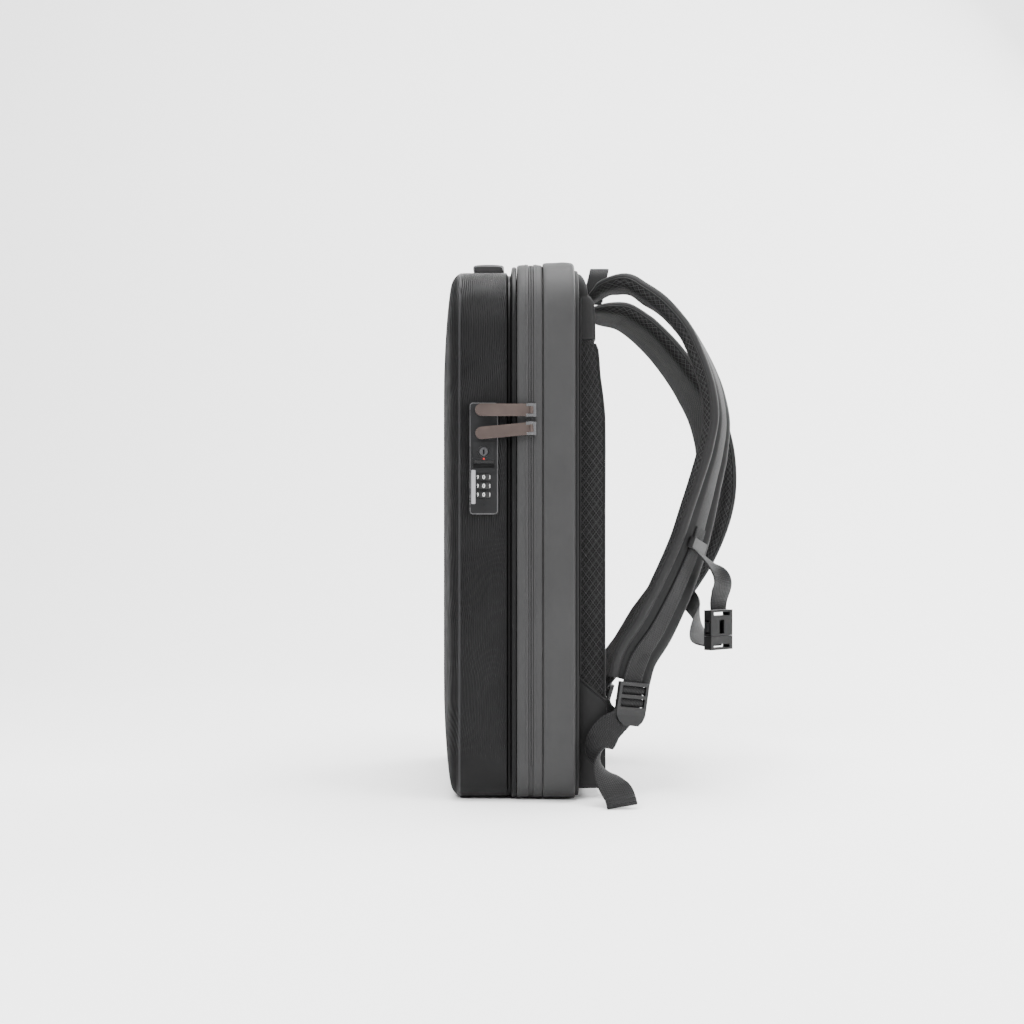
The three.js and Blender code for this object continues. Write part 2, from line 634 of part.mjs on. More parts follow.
const YOKE_SHARE = YOKE_THICK / (PAD_FACE - PAD_START);
const YOKE_WIDTH = BODY_WIDTH - 2 * (TOP_RADIUS - PAD_EDGE);
put('back_yoke', pad(PAD_TOP + SEAT_GAP, YOKE_TOP, YOKE_WIDTH, [
  { up: 0, out: YOKE_SHARE, narrow: 0 },
  { up: 0.35, out: YOKE_SHARE * 0.97, narrow: 0.2 },
  { up: 0.7, out: YOKE_SHARE * 0.7, narrow: 1 },
  { up: 0.92, out: YOKE_SHARE * 0.35, narrow: 2.4 },
  { up: 1, out: YOKE_SHARE * 0.12, narrow: 4 },
]), smoothCloth);
put('back_pad_top', pad(PAD_TOP - PAD_TOP_HEIGHT, PAD_TOP, PAD_WIDTH, [
  { up: 0, out: 0.64, narrow: 0 },
  { up: 0.5, out: 0.62, narrow: 0 },
  { up: 0.88, out: 0.56, narrow: 0.4 },
  { up: 1, out: 0.42, narrow: 1.4 },
]), smoothCloth);
put('back_pad', pad(PAD_FOOT, PAD_TOP - PAD_TOP_HEIGHT - SEAT_GAP, PAD_WIDTH, [
  { up: 0, out: 0.7, narrow: 1.2 },
  { up: 0.02, out: 0.92, narrow: 0.3 },
  { up: 0.06, out: 1, narrow: 0 },
  { up: 0.82, out: 1, narrow: 0 },
  { up: 0.87, out: 0.93, narrow: 0 },
  { up: 0.92, out: 0.82, narrow: 0 },
  { up: 0.96, out: 0.77, narrow: 0 },
  { up: 0.985, out: 0.7, narrow: 0 },
  { up: 1, out: 0.5, narrow: 0.4 },
]), padMesh);

// Fabric corner over each lower side of the pad, with a slanted top edge
function wing(side) {
  const shape = new THREE.Shape();
  const [inner, outer] = [PAD_START, PAD_FACE];
  shape.moveTo(inner, PAD_FOOT);
  shape.lineTo(outer, PAD_FOOT);
  shape.lineTo(outer, PAD_FOOT + WING_HEIGHT - WING_SLANT);
  shape.lineTo(inner, PAD_FOOT + WING_HEIGHT);
  const stand = new THREE.Matrix4().makeRotationX(Math.PI / 2);
  const inside = PAD_WIDTH / 2 + SEAT_GAP;
  stand.setPosition(0, side > 0 ? inside + WING_THICK : -inside, 0);
  return solidFrom(new THREE.ExtrudeGeometry(shape, { depth: WING_THICK, bevelEnabled: false }), stand);
}

put('wing_near', wing(-1), smoothCloth);
put('wing_far', wing(1), smoothCloth);

// Frame at a place: the way it heads, its side direction and its face, turned about the heading
function frameAt(place, heading, turn) {
  const level = at(0, 1, 0).addScaledVector(heading, -heading.y).normalize();
  const up = heading.clone().cross(level);
  const angle = THREE.MathUtils.degToRad(turn);
  return {
    place,
    heading,
    turn,
    side: level.clone().multiplyScalar(Math.cos(angle)).addScaledVector(up, Math.sin(angle)),
    face: up.clone().multiplyScalar(Math.cos(angle)).addScaledVector(level, -Math.sin(angle)),
  };
}

// Stations along a route: rows in millimetres, with the turn of the face about the route in degrees
function stations(rows, steps, columns) {
  const curve = new THREE.CatmullRomCurve3(rows.map(({ x, y, z }) => at(x, y, z)), false, 'centripetal');
  return Array.from({ length: steps + 1 }, (_, step) => {
    const share = step / steps;
    const row = Math.min(Math.floor(share * (rows.length - 1)), rows.length - 2);
    const part = share * (rows.length - 1) - row;
    const mix = (name) => rows[row][name] + part * (rows[row + 1][name] - rows[row][name]);
    const heading = curve.getTangent(share);
    const sizes = Object.fromEntries(columns.map((name) => [name, mix(name)]));
    return { ...frameAt(curve.getPoint(share), heading, mix('turn')), ...sizes };
  });
}

const offset = ({ place, side, face }, sideways, out) =>
  place.clone().addScaledVector(side, sideways).addScaledVector(face, out);

// Flat webbing, one rectangle for each station, thicker where it is folded into a hem
function webbing(path, width) {
  return loft(path.map((station) => {
    const half = ((station.fold ?? 1) * WEB_THICK) / 2;
    return [
      offset(station, -width / 2, -half),
      offset(station, width / 2, -half),
      offset(station, width / 2, half),
      offset(station, -width / 2, half),
    ];
  }));
}

// Padded strap: a crowned section with round edges
const STRAP_SECTION = [
  { across: -1, out: 0 },
  { across: -0.94, out: -0.7 },
  { across: -0.8, out: -1 },
  { across: 0.8, out: -1 },
  { across: 0.94, out: -0.7 },
  { across: 1, out: 0 },
  { across: 0.92, out: 0.75 },
  { across: 0.72, out: 1 },
  { across: -0.72, out: 1 },
  { across: -0.92, out: 0.75 },
];

function paddedStrap(path) {
  return loft(path.map((station) => STRAP_SECTION.map(({ across, out }) => offset(
    station,
    (across * station.wide * STRAP_WIDTH) / 2,
    (out * station.thick * STRAP_THICK) / 2,
  ))));
}

// Routes of the shoulder straps: out as a share of the reach from the yoke, side of the half width,
// up of the body height, turn in degrees, wide and thick as shares of the strap's width and thickness
const NEAR_STRAP = [
  { out: 0, side: -0.293, up: 0.9458, turn: 0, wide: 0.8, thick: 0.36 },
  { out: 0.03, side: -0.293, up: 0.9459, turn: 0, wide: 0.81, thick: 0.4 },
  { out: 0.07, side: -0.3, up: 0.954, turn: 0, wide: 0.82, thick: 0.55 },
  { out: 0.15, side: -0.33, up: 0.967, turn: 0, wide: 0.88, thick: 0.8 },
  { out: 0.28, side: -0.387, up: 0.9693, turn: 2, wide: 0.94, thick: 1 },
  { out: 0.39, side: -0.427, up: 0.9512, turn: 4, wide: 0.98, thick: 1 },
  { out: 0.51, side: -0.467, up: 0.9226, turn: 6, wide: 1, thick: 1 },
  { out: 0.633, side: -0.513, up: 0.8768, turn: 8, wide: 1, thick: 1 },
  { out: 0.723, side: -0.56, up: 0.8218, turn: 11, wide: 1, thick: 1 },
  { out: 0.788, side: -0.6, up: 0.7637, turn: 14, wide: 1, thick: 1 },
  { out: 0.812, side: -0.633, up: 0.7061, turn: 17, wide: 1, thick: 1 },
  { out: 0.787, side: -0.66, up: 0.649, turn: 20, wide: 1, thick: 0.96 },
  { out: 0.739, side: -0.687, up: 0.5922, turn: 23, wide: 0.98, thick: 0.93 },
  { out: 0.687, side: -0.707, up: 0.5358, turn: 27, wide: 0.96, thick: 0.9 },
  { out: 0.622, side: -0.727, up: 0.4701, turn: 31, wide: 0.94, thick: 0.86 },
  { out: 0.513, side: -0.753, up: 0.3899, turn: 37, wide: 0.9, thick: 0.8 },
  { out: 0.393, side: -0.773, up: 0.3155, turn: 43, wide: 0.84, thick: 0.7 },
  { out: 0.285, side: -0.793, up: 0.2619, turn: 50, wide: 0.74, thick: 0.6 },
  { out: 0.247, side: -0.8, up: 0.218, turn: 56, wide: 0.66, thick: 0.5 },
];
const FAR_STRAP = [
  { out: 0, side: 0.293, up: 0.9412, turn: 0, wide: 0.8, thick: 0.36 },
  { out: 0.03, side: 0.293, up: 0.9413, turn: 0, wide: 0.81, thick: 0.42 },
  { out: 0.07, side: 0.3, up: 0.9424, turn: -3, wide: 0.82, thick: 0.55 },
  { out: 0.17, side: 0.32, up: 0.9424, turn: -7, wide: 0.88, thick: 0.85 },
  { out: 0.284, side: 0.347, up: 0.9371, turn: -9, wide: 0.94, thick: 1 },
  { out: 0.41, side: 0.373, up: 0.9152, turn: -10, wide: 0.98, thick: 1 },
  { out: 0.538, side: 0.4, up: 0.8806, turn: -11, wide: 1, thick: 1 },
  { out: 0.666, side: 0.433, up: 0.8356, turn: -12, wide: 1, thick: 1 },
  { out: 0.782, side: 0.467, up: 0.7861, turn: -14, wide: 1, thick: 1 },
  { out: 0.878, side: 0.507, up: 0.7343, turn: -16, wide: 1, thick: 1 },
  { out: 0.939, side: 0.547, up: 0.678, turn: -18, wide: 1, thick: 1 },
  { out: 0.964, side: 0.58, up: 0.6211, turn: -20, wide: 1, thick: 1 },
  { out: 0.957, side: 0.607, up: 0.566, turn: -22, wide: 1, thick: 0.96 },
  { out: 0.914, side: 0.633, up: 0.5107, turn: -24, wide: 0.98, thick: 0.92 },
  { out: 0.839, side: 0.66, up: 0.4551, turn: -26, wide: 0.96, thick: 0.88 },
  { out: 0.735, side: 0.687, up: 0.4014, turn: -28, wide: 0.93, thick: 0.84 },
  { out: 0.609, side: 0.713, up: 0.3474, turn: -30, wide: 0.89, thick: 0.78 },
  { out: 0.476, side: 0.74, up: 0.2953, turn: -32, wide: 0.83, thick: 0.7 },
  { out: 0.348, side: 0.765, up: 0.244, turn: -28, wide: 0.76, thick: 0.6 },
  { out: 0.24, side: 0.79, up: 0.208, turn: -22, wide: 0.7, thick: 0.55 },
  { out: 0.172, side: 0.815, up: 0.173, turn: -16, wide: 0.64, thick: 0.5 },
];
const STRAP_START = YOKE_FACE + SEAT_GAP;
const routeOf = (rows) => rows.map((row) => ({
  ...row,
  x: STRAP_START + row.out * STRAP_REACH,
  y: row.side * HALF_WIDTH,
  z: row.up * BODY_HEIGHT,
}));
const strapPath = (rows) => stations(routeOf(rows), STRAP_STEPS, ['wide', 'thick']);
const nearPath = strapPath(NEAR_STRAP);
const farPath = strapPath(FAR_STRAP);

// Stretch of a strap's path, lifted onto its outer face
function lifted(path, from, to, above) {
  return path
    .slice(Math.round(from * STRAP_STEPS), Math.round(to * STRAP_STEPS) + 1)
    .map((station) => ({
      ...station,
      place: offset(station, 0, (station.thick * STRAP_THICK) / 2 + SEAT_GAP + above),
    }));
}

put('shoulder_strap_near', paddedStrap(nearPath), padMesh);
put('shoulder_strap_far', paddedStrap(farPath), padMesh);
put('strap_rail_near', webbing(lifted(nearPath, RAIL_FROM, 1, WEB_THICK / 2), RAIL_WIDTH), webCloth);
put('strap_rail_far', webbing(lifted(farPath, RAIL_FROM, 1, WEB_THICK / 2), RAIL_WIDTH), webCloth);

// Piece built flat, width along X and length along Y, and placed in a station's frame
function placed(solid, { place, heading, side, face }) {
  const made = solid.getMesh();
  const geometry = new THREE.BufferGeometry();
  geometry.setAttribute('position', new THREE.BufferAttribute(made.vertProperties, 3));
  geometry.setIndex(new THREE.BufferAttribute(made.triVerts, 1));
  const matrix = new THREE.Matrix4().makeBasis(side, heading, face).setPosition(place);
  return solidFrom(geometry, matrix);
}

function slotted(width, length, thick, slots) {
  let body = block(at(-width / 2, 0, 0), at(width / 2, length, thick));
  for (const { from, to, inset } of slots) {
    body = body.subtract(block(
      at(inset - width / 2, from, -CUT_PAST),
      at(width / 2 - inset, to, thick + CUT_PAST),
    ));
  }
  return body;
}

// Ladder lock at a strap's lower end: two slots, three bars and a thumb flap bent outward
const LADDER_FLAP_ROWS = [
  { along: -0.18, wide: 1, lift: 0 },
  { along: 0.29, wide: 0.98, lift: 0.15 },
  { along: 0.7, wide: 0.8, lift: 0.41 },
  { along: 1, wide: 0.5, lift: 0.7 },
];

function ladderLock(path) {
  const width = WEB_WIDTH + 2 * LADDER_MARGIN;
  const flapStart = LADDER_LENGTH - LADDER_FLAP;
  const slot = (flapStart - 3 * LOCK_BAR) / 2;
  let body = slotted(width, flapStart, LADDER_THICK, [
    { from: LOCK_BAR, to: LOCK_BAR + slot, inset: LADDER_MARGIN },
    { from: 2 * LOCK_BAR + slot, to: 2 * LOCK_BAR + 2 * slot, inset: LADDER_MARGIN },
  ]);
  body = body.add(loft(LADDER_FLAP_ROWS.map(({ along, wide, lift }) => {
    const [y, half] = [flapStart + along * LADDER_FLAP, (wide * width) / 2];
    const low = lift * LADDER_THICK;
    const high = low + LADDER_THICK * 0.9;
    return [at(-half, y, low), at(half, y, low), at(half, y, high), at(-half, y, high)];
  })));
  return placed(body, ladderFrame(path));
}

// The ladder lock hangs more steeply than the strap's end that holds it
function ladderFrame(path) {
  const end = path[path.length - 1];
  const heading = end.heading.clone().add(at(0, 0, -LADDER_DROOP)).normalize();
  const place = offset(end, 0, (end.thick * STRAP_THICK) / 2 + WEB_THICK + 3 * SEAT_GAP)
    .addScaledVector(end.heading, SEAT_GAP);
  return frameAt(place, heading, end.turn);
}

put('ladder_lock_near', ladderLock(nearPath), blackPlastic);
put('ladder_lock_far', ladderLock(farPath), blackPlastic);

// Free ends of the webbing, from the strap's end down to the floor: back and aside as shares of the
// tail's reach, up of the height of the strap's end, fold as a multiple of the webbing's thickness
const NEAR_TAIL = [
  { back: -0.167, aside: -0.2, up: 0.66, turn: 60, fold: 1 },
  { back: -0.3, aside: -0.233, up: 0.6, turn: 78, fold: 1 },
  { back: -0.392, aside: -0.267, up: 0.52, turn: 96, fold: 1 },
  { back: -0.45, aside: -0.317, up: 0.44, turn: 130, fold: 1 },
  { back: -0.425, aside: -0.433, up: 0.345, turn: 176, fold: 1 },
  { back: -0.358, aside: -0.583, up: 0.26, turn: 216, fold: 1 },
  { back: -0.275, aside: -0.733, up: 0.18, turn: 240, fold: 1 },
  { back: -0.192, aside: -0.867, up: 0.11, turn: 258, fold: 1 },
  { back: -0.167, aside: -0.95, up: 0.066, turn: 266, fold: 3 },
  { back: -0.158, aside: -1.017, up: 0.04, turn: 267, fold: 3 },
];
const FAR_TAIL = [
  { back: -0.05, aside: 0.117, up: 0.44, turn: -20, fold: 1 },
  { back: -0.1, aside: 0.167, up: 0.4, turn: -34, fold: 1 },
  { back: -0.15, aside: 0.25, up: 0.33, turn: -48, fold: 1 },
  { back: -0.2, aside: 0.35, up: 0.25, turn: -62, fold: 1 },
  { back: -0.217, aside: 0.467, up: 0.15, turn: -76, fold: 1 },
  { back: -0.217, aside: 0.55, up: 0.085, turn: -86, fold: 3 },
  { back: -0.217, aside: 0.617, up: 0.045, turn: -90, fold: 3 },
];

function hangingWeb(path, rows) {
  const end = path[path.length - 1].place;
  return stations(rows.map((row) => ({
    ...row,
    x: end.x + row.back * TAIL_REACH,
    y: end.y + row.aside * TAIL_REACH,
    z: row.up * end.z,
  })), 4 * (rows.length - 1), ['fold']);
}

// Slack web between two frames: it leaves the first and arrives at the second by the given reaches
function slackWeb(from, leave, to, arrive, width, steps = WEB_STEPS) {
  const curve = new THREE.CubicBezierCurve3(
    from.place,
    from.place.clone().add(leave),
    to.place.clone().sub(arrive),
    to.place,
  );
  return webbing(Array.from({ length: steps + 1 }, (_, step) => {
    const share = step / steps;
    const heading = curve.getTangent(share);
    const wide = from.side.clone().lerp(to.side, Math.min(1, share * WEB_TURN_RATE));
    const side = wide.addScaledVector(heading, -wide.dot(heading)).normalize();
    return { place: curve.getPoint(share), heading, side, face: heading.clone().cross(side) };
  }), width);
}

// Both ends of the webbing from a wing's rear edge to the back of its ladder lock
function anchorEnds(lock, side, share) {
  const from = {
    place: at(
      PAD_FACE + 2 * SEAT_GAP,
      side * (PAD_WIDTH / 2 + SEAT_GAP + WING_THICK / 2),
      lock.place.z * share,
    ),
    side: at(0, 0, 1),
  };
  const to = {
    place: offset(lock, 0, -2 * SEAT_GAP).addScaledVector(lock.heading, LADDER_LENGTH * 0.45),
    side: lock.side,
  };
  return { from, to };
}

function slackAnchor(path, side) {
  const lock = ladderFrame(path);
  const { from, to } = anchorEnds(lock, side, ANCHOR_SHARE);
  const arrive = lock.face.clone().multiplyScalar(ANCHOR_LIFT);
  return slackWeb(from, at(ANCHOR_SLACK, -side * ANCHOR_INWARD, 0), to, arrive, ANCHOR_WIDTH);
}

// The far one is too short to twist, so it is flat and lies lengthwise on its lock's back
function flatAnchor(path, side) {
  const lock = ladderFrame(path);
  const { from, to } = anchorEnds(lock, side, ANCHOR_SHARE_FAR);
  const ends = [
    { ...from, heading: at(1, 0, 0) },
    { ...to, heading: lock.face, side: lock.heading.clone().negate() },
  ];
  return webbing(ends.map((end) => ({ ...end, face: end.heading.clone().cross(end.side) })), ANCHOR_WIDTH);
}

put('anchor_web_near', slackAnchor(nearPath, -1), webCloth);
put('anchor_web_far', flatAnchor(farPath, 1), webCloth);
put('tail_web_near', webbing(hangingWeb(nearPath, NEAR_TAIL), WEB_WIDTH), webCloth);
put('tail_web_far', webbing(hangingWeb(farPath, FAR_TAIL), WEB_WIDTH), webCloth);

// Hang loop: an arch of webbing over the yoke, its width toward the back
const LOOP_ROWS = [
  { across: -0.9, up: 0, lean: 0 },
  { across: -1, up: 0.45, lean: 0.33 },
  { across: -0.8, up: 0.84, lean: 0.83 },
  { across: 0, up: 1, lean: 1 },
  { across: 0.8, up: 0.84, lean: 0.83 },
  { across: 1, up: 0.45, lean: 0.33 },
  { across: 0.9, up: 0, lean: 0 },
];

function hangLoop() {
  const foot = YOKE_TOP - YOKE_HEIGHT + LOOP_ABOVE_SEAM;
  const middle = new THREE.CatmullRomCurve3(LOOP_ROWS.map(({ across, up, lean }) => at(
    STRAP_START + lean * LOOP_LEAN,
    (across * LOOP_SPREAD) / 2,
    foot + up * LOOP_HEIGHT,
  )));
  const rings = Array.from({ length: LOOP_STEPS + 1 }, (_, step) => {
    const place = middle.getPoint(step / LOOP_STEPS);
    const heading = middle.getTangent(step / LOOP_STEPS).setX(0).normalize();
    const out = at(0, -heading.z, heading.y).multiplyScalar(WEB_THICK / 2);
    const wide = at(LOOP_WIDTH, 0, 0);
    return [
      place.clone().sub(out),
      place.clone().sub(out).add(wide),
      place.clone().add(out).add(wide),
      place.clone().add(out),
    ];
  });
  return loft(rings);
}

put('hang_loop', hangLoop(), webCloth);

// Chest strap sliders: a bridge over each rail
function chestStation(path) {
  const station = path[Math.round(CHEST_AT * STRAP_STEPS)];
  return { ...station, place: offset(station, 0, (station.thick * STRAP_THICK) / 2 + SEAT_GAP) };
}

function chestSlider(path) {
  const half = RAIL_WIDTH / 2 + SEAT_GAP;
  const body = block(
    at(-half - CHEST_SLIDER_LEG, -CHEST_SLIDER_LENGTH / 2, 0),
    at(half + CHEST_SLIDER_LEG, CHEST_SLIDER_LENGTH / 2, CHEST_SLIDER_THICK),
  );
  const slot = block(
    at(-half, -CHEST_SLIDER_LENGTH, -CUT_PAST),
    at(half, CHEST_SLIDER_LENGTH, WEB_THICK + 2 * SEAT_GAP),
  );
  return placed(body.subtract(slot), chestStation(path));
}

// Fastened buckle, hung from the near web and reached by the far one from behind
function buckleFrame() {
  const clip = chestStation(nearPath).place;
  const turn = THREE.MathUtils.degToRad(BUCKLE_TURN);
  return {
    place: at(clip.x + BUCKLE_OUT, clip.y + BUCKLE_INWARD, clip.z - BUCKLE_BELOW),
    heading: at(0, 0, -1),
    side: at(Math.sin(turn), Math.cos(turn), 0),
    face: at(Math.cos(turn), -Math.sin(turn), 0),
  };
}

function buckleSocket() {
  const [half, deep] = [BUCKLE_WIDTH / 2, BUCKLE_THICK / 2];
  const hollow = BUCKLE_SLOT + 2 * BUCKLE_WALL;
  return block(at(-half, 0, -deep), at(half, SOCKET_LENGTH, deep))
    .subtract(block(
      at(-CHEST_WIDTH / 2 - SEAT_GAP, BUCKLE_WALL, -deep - CUT_PAST),
      at(CHEST_WIDTH / 2 + SEAT_GAP, BUCKLE_WALL + BUCKLE_SLOT, deep + CUT_PAST),
    ))
    .subtract(block(
      at(-half + BUCKLE_WALL, hollow, -deep + BUCKLE_WALL),
      at(half - BUCKLE_WALL, SOCKET_LENGTH + CUT_PAST, deep - BUCKLE_WALL),
    ))
    .subtract(block(
      at(-half - CUT_PAST, hollow + BUCKLE_WALL, -deep + BUCKLE_WALL),
      at(half + CUT_PAST, SOCKET_LENGTH - BUCKLE_WALL, deep - BUCKLE_WALL),
    ))
    .subtract(block(
      at(-half * 0.22, hollow + BUCKLE_WALL, 0),
      at(half * 0.22, SOCKET_LENGTH - BUCKLE_WALL, deep + CUT_PAST),
    ));
}

function bucklePlug() {
  const [half, deep] = [BUCKLE_WIDTH / 2, BUCKLE_THICK / 2];
  const inner = deep - BUCKLE_WALL - SEAT_GAP;
  const prongEnd = half - BUCKLE_WALL - SEAT_GAP;
  const tip = BUCKLE_SLOT + 4 * BUCKLE_WALL;
  let body = block(at(-half, SOCKET_LENGTH + SEAT_GAP, -deep), at(half, BUCKLE_LENGTH, deep));
  body = body.subtract(block(
    at(-CHEST_WIDTH / 2 - SEAT_GAP, BUCKLE_LENGTH - BUCKLE_WALL - BUCKLE_SLOT, -deep - CUT_PAST),
    at(CHEST_WIDTH / 2 + SEAT_GAP, BUCKLE_LENGTH - BUCKLE_WALL, deep + CUT_PAST),
  ));
  for (const side of [-1, 1]) {
    const [low, high] = [prongEnd - 2 * BUCKLE_WALL, prongEnd].map((x) => side * x);
    const button = side * (half + BUCKLE_BUTTON);
    body = body
      .add(block(
        at(Math.min(low, high), tip, -inner),
        at(Math.max(low, high), SOCKET_LENGTH + CUT_PAST, inner),
      ))
      .add(block(
        at(Math.min(low, button), tip, -inner),
        at(Math.max(low, button), SOCKET_LENGTH - 2 * BUCKLE_WALL, inner),
      ));
  }
  return body;
}

const CHEST_REACH = RAIL_WIDTH / 2 + SEAT_GAP + CHEST_SLIDER_LEG;
const nearClip = chestStation(nearPath);
const farClip = chestStation(farPath);
const buckle = buckleFrame();
const nearStart = offset(nearClip, 0, CHEST_SLIDER_THICK)
  .addScaledVector(nearClip.heading, CHEST_SLIDER_LENGTH / 2 + 2 * SEAT_GAP);
const farStart = offset(farClip, -CHEST_REACH - SEAT_GAP, CHEST_SLIDER_THICK / 2);
const buckleTop = buckle.place.clone().addScaledVector(buckle.heading, -SEAT_GAP);
const buckleBack = buckle.place.clone()
  .addScaledVector(buckle.heading, BUCKLE_LENGTH - BUCKLE_WALL - BUCKLE_SLOT / 2)
  .addScaledVector(buckle.face, -BUCKLE_THICK / 2 - SEAT_GAP);
const nearChestWeb = slackWeb(
  { place: nearStart, side: nearClip.side },
  nearClip.heading.clone().multiplyScalar(CHEST_DROOP).addScaledVector(nearClip.face, CHEST_BULGE),
  { place: buckleTop, side: buckle.side },
  buckle.heading.clone().multiplyScalar(CHEST_DROOP),
  CHEST_WIDTH,
  CHEST_STEPS,
);
const farChestWeb = slackWeb(
  { place: farStart, side: farClip.heading },
  farClip.side.clone().multiplyScalar(-CHEST_SPAN),
  { place: buckleBack, side: buckle.side },
  buckle.face.clone().multiplyScalar(CHEST_RETURN),
  CHEST_WIDTH,
  CHEST_STEPS,
);

put('sternum_slider_near', chestSlider(nearPath), blackPlastic);
put('sternum_slider_far', chestSlider(farPath), blackPlastic);
put('sternum_web_near', nearChestWeb, webCloth);
put('sternum_web_far', farChestWeb, webCloth);
put('buckle_female', placed(buckleSocket(), buckle), blackPlastic);
put('buckle_male', placed(bucklePlug(), buckle), blackPlastic);

export default backpack;
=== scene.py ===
"""Looks of a hard shell backpack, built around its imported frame."""
import math

import bpy
import numpy as np
from bpy.props import FloatProperty, FloatVectorProperty, PointerProperty
from mathutils import Matrix, Vector, noise


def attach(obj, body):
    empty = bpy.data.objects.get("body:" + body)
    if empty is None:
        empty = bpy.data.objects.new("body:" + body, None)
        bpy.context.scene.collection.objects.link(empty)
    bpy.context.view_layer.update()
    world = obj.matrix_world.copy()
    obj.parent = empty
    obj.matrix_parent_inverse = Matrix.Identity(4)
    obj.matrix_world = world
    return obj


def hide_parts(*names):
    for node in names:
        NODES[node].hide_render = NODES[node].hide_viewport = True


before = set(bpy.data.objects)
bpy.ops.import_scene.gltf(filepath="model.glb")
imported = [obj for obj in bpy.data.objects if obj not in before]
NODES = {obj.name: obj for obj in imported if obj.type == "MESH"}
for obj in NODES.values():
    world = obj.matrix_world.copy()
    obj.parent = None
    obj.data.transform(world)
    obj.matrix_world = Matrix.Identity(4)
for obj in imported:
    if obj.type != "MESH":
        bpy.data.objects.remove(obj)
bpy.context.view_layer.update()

bl_info = {
    "name": "Hard shell backpack",
    "version": (1, 0, 0),
    "blender": (4, 5, 0),
    "location": "3D View > Sidebar > Backpack",
    "description": "Builds the cloth, webbing, hard shell and fittings of a backpack on its frame",
    "category": "Add Mesh",
}

# Shapes below are in millimetres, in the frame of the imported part; meshes are stored in metres
MM = 0.001
UV_NAME = "cloth"

# Body
BODY_HEIGHT = 450.0
HALF_WIDTH = 150.0
TOP_RADIUS = 48.0
FOOT_RADIUS = 32.0
SIDE_SHARE = 0.7
SEAT_GAP = 0.3
CORNER_STEPS = 16
RUN_STEPS = 36

# Depths of the hard shell, from its rim to the crease of its dome
SHELL_RIM_X = -6.4
SHELL_WALL_END = -14.7
CREASE_X = -53.4
SHELL_BULGE = 17.5
SHELL_DROP = 7.6
SHELL_WALL = 2.5
RECESS_DROP = 10.0
RIM_DROP = 3.2
RIM_DEPTH = 4.1
SHELL_SIDE_Y = -144.68

# Fabric bands
BAND_START = -6.1
FRONT_BAND_DEPTH = 21.4
FRONT_BAND_DROP = 1.7
FRONT_BAND_WALL = 3.6
REAR_BAND_START = 15.6
REAR_BAND_DEPTH = 26.4
REAR_BAND_WALL = 2.6
BAND_CROWN = 0.6
BAND_TUCK = 1.3
REAR_BAND_TUCK = 2.4
ZIP_X = 5.5
ZIP_GROOVE = 4.0
ZIP_DEEP = 1.8

# Back of the bag
BOARD_START = 42.3
BOARD_THICK = 3.0
BOARD_INSET = 6.0
PAD_START = 45.6
PAD_FACE = 67.9
PAD_WIDTH = 250.0
PAD_FOOT = 9.0
PAD_TOP_FOOT = 383.7
PAD_TOP = 419.7
YOKE_TOP = 443.0
YOKE_THICK = 8.5
YOKE_WIDTH = 212.0
WING_THICK = 2.4
WING_HEIGHT = 92.0
WING_SLANT = 19.0

# Carry handle
SHELL_TOP = 442.4
HANDLE_X = -30.3
HANDLE_LENGTH = 176.0
HANDLE_WIDTH = 26.6
HANDLE_THICK = 6.8
HANDLE_LIFT = 1.5
HANDLE_SEAT = 445.0

# Lock
LOCK_X = -33.4
LOCK_FACE_Y = -148.08
BLOCK_FACE_Y = -149.28
LOCK_CENTRE_Z = 283.4
KEY_Z = 289.0
KEY_RADIUS = 3.55
DIAL_Y = -141.38
DIAL_RADIUS = 8.4
DIAL_Z = (267.9, 260.7, 253.5)
DIAL_BODIES = ("first_dial", "second_dial", "third_dial")

# Straps and webbing
STRAP_START = 54.4
STRAP_REACH = 135.0
STRAP_WIDTH = 66.0
STRAP_THICK = 14.0
STRAP_STEPS = 120
WEB_WIDTH = 25.0
WEB_THICK = 1.4
RAIL_WIDTH = 20.0
RAIL_FROM = 0.75
CHEST_WIDTH = 20.0
CHEST_AT = 0.775
ANCHOR_WIDTH = 22.0
ANCHOR_SHARE = {"near": 0.74, "far": 0.8}
ANCHOR_SLACK = 9.0
ANCHOR_LIFT = 7.6
ANCHOR_INWARD = 10.8
LADDER_LENGTH = 36.0
LADDER_THICK = 3.4
LADDER_DROOP = 0.8
LADDER_FLAP = 12.2
LOCK_BAR = 3.0
TAIL_REACH = 60.0
LOOP_WIDTH = 17.0
LOOP_HEIGHT = 31.0
LOOP_SPREAD = 20.0
LOOP_FOOT = 428.0
LOOP_LEAN = 6.0
CHEST_DROOP = 18.0
CHEST_BULGE = 40.0
CHEST_SPAN = 70.0
CHEST_RETURN = 34.0
CHEST_SLIDER_LENGTH = 9.0
CHEST_SLIDER_THICK = 4.6
CHEST_SLIDER_LEG = 3.4
BUCKLE_LENGTH = 34.0
BUCKLE_THICK = 8.0
BUCKLE_WALL = 1.8
BUCKLE_SLOT = 3.0
BUCKLE_TURN = 47.0
BUCKLE_BELOW = 56.0
BUCKLE_OUT = 22.5
BUCKLE_INWARD = 26.0
WEB_TURN_RATE = 1.7

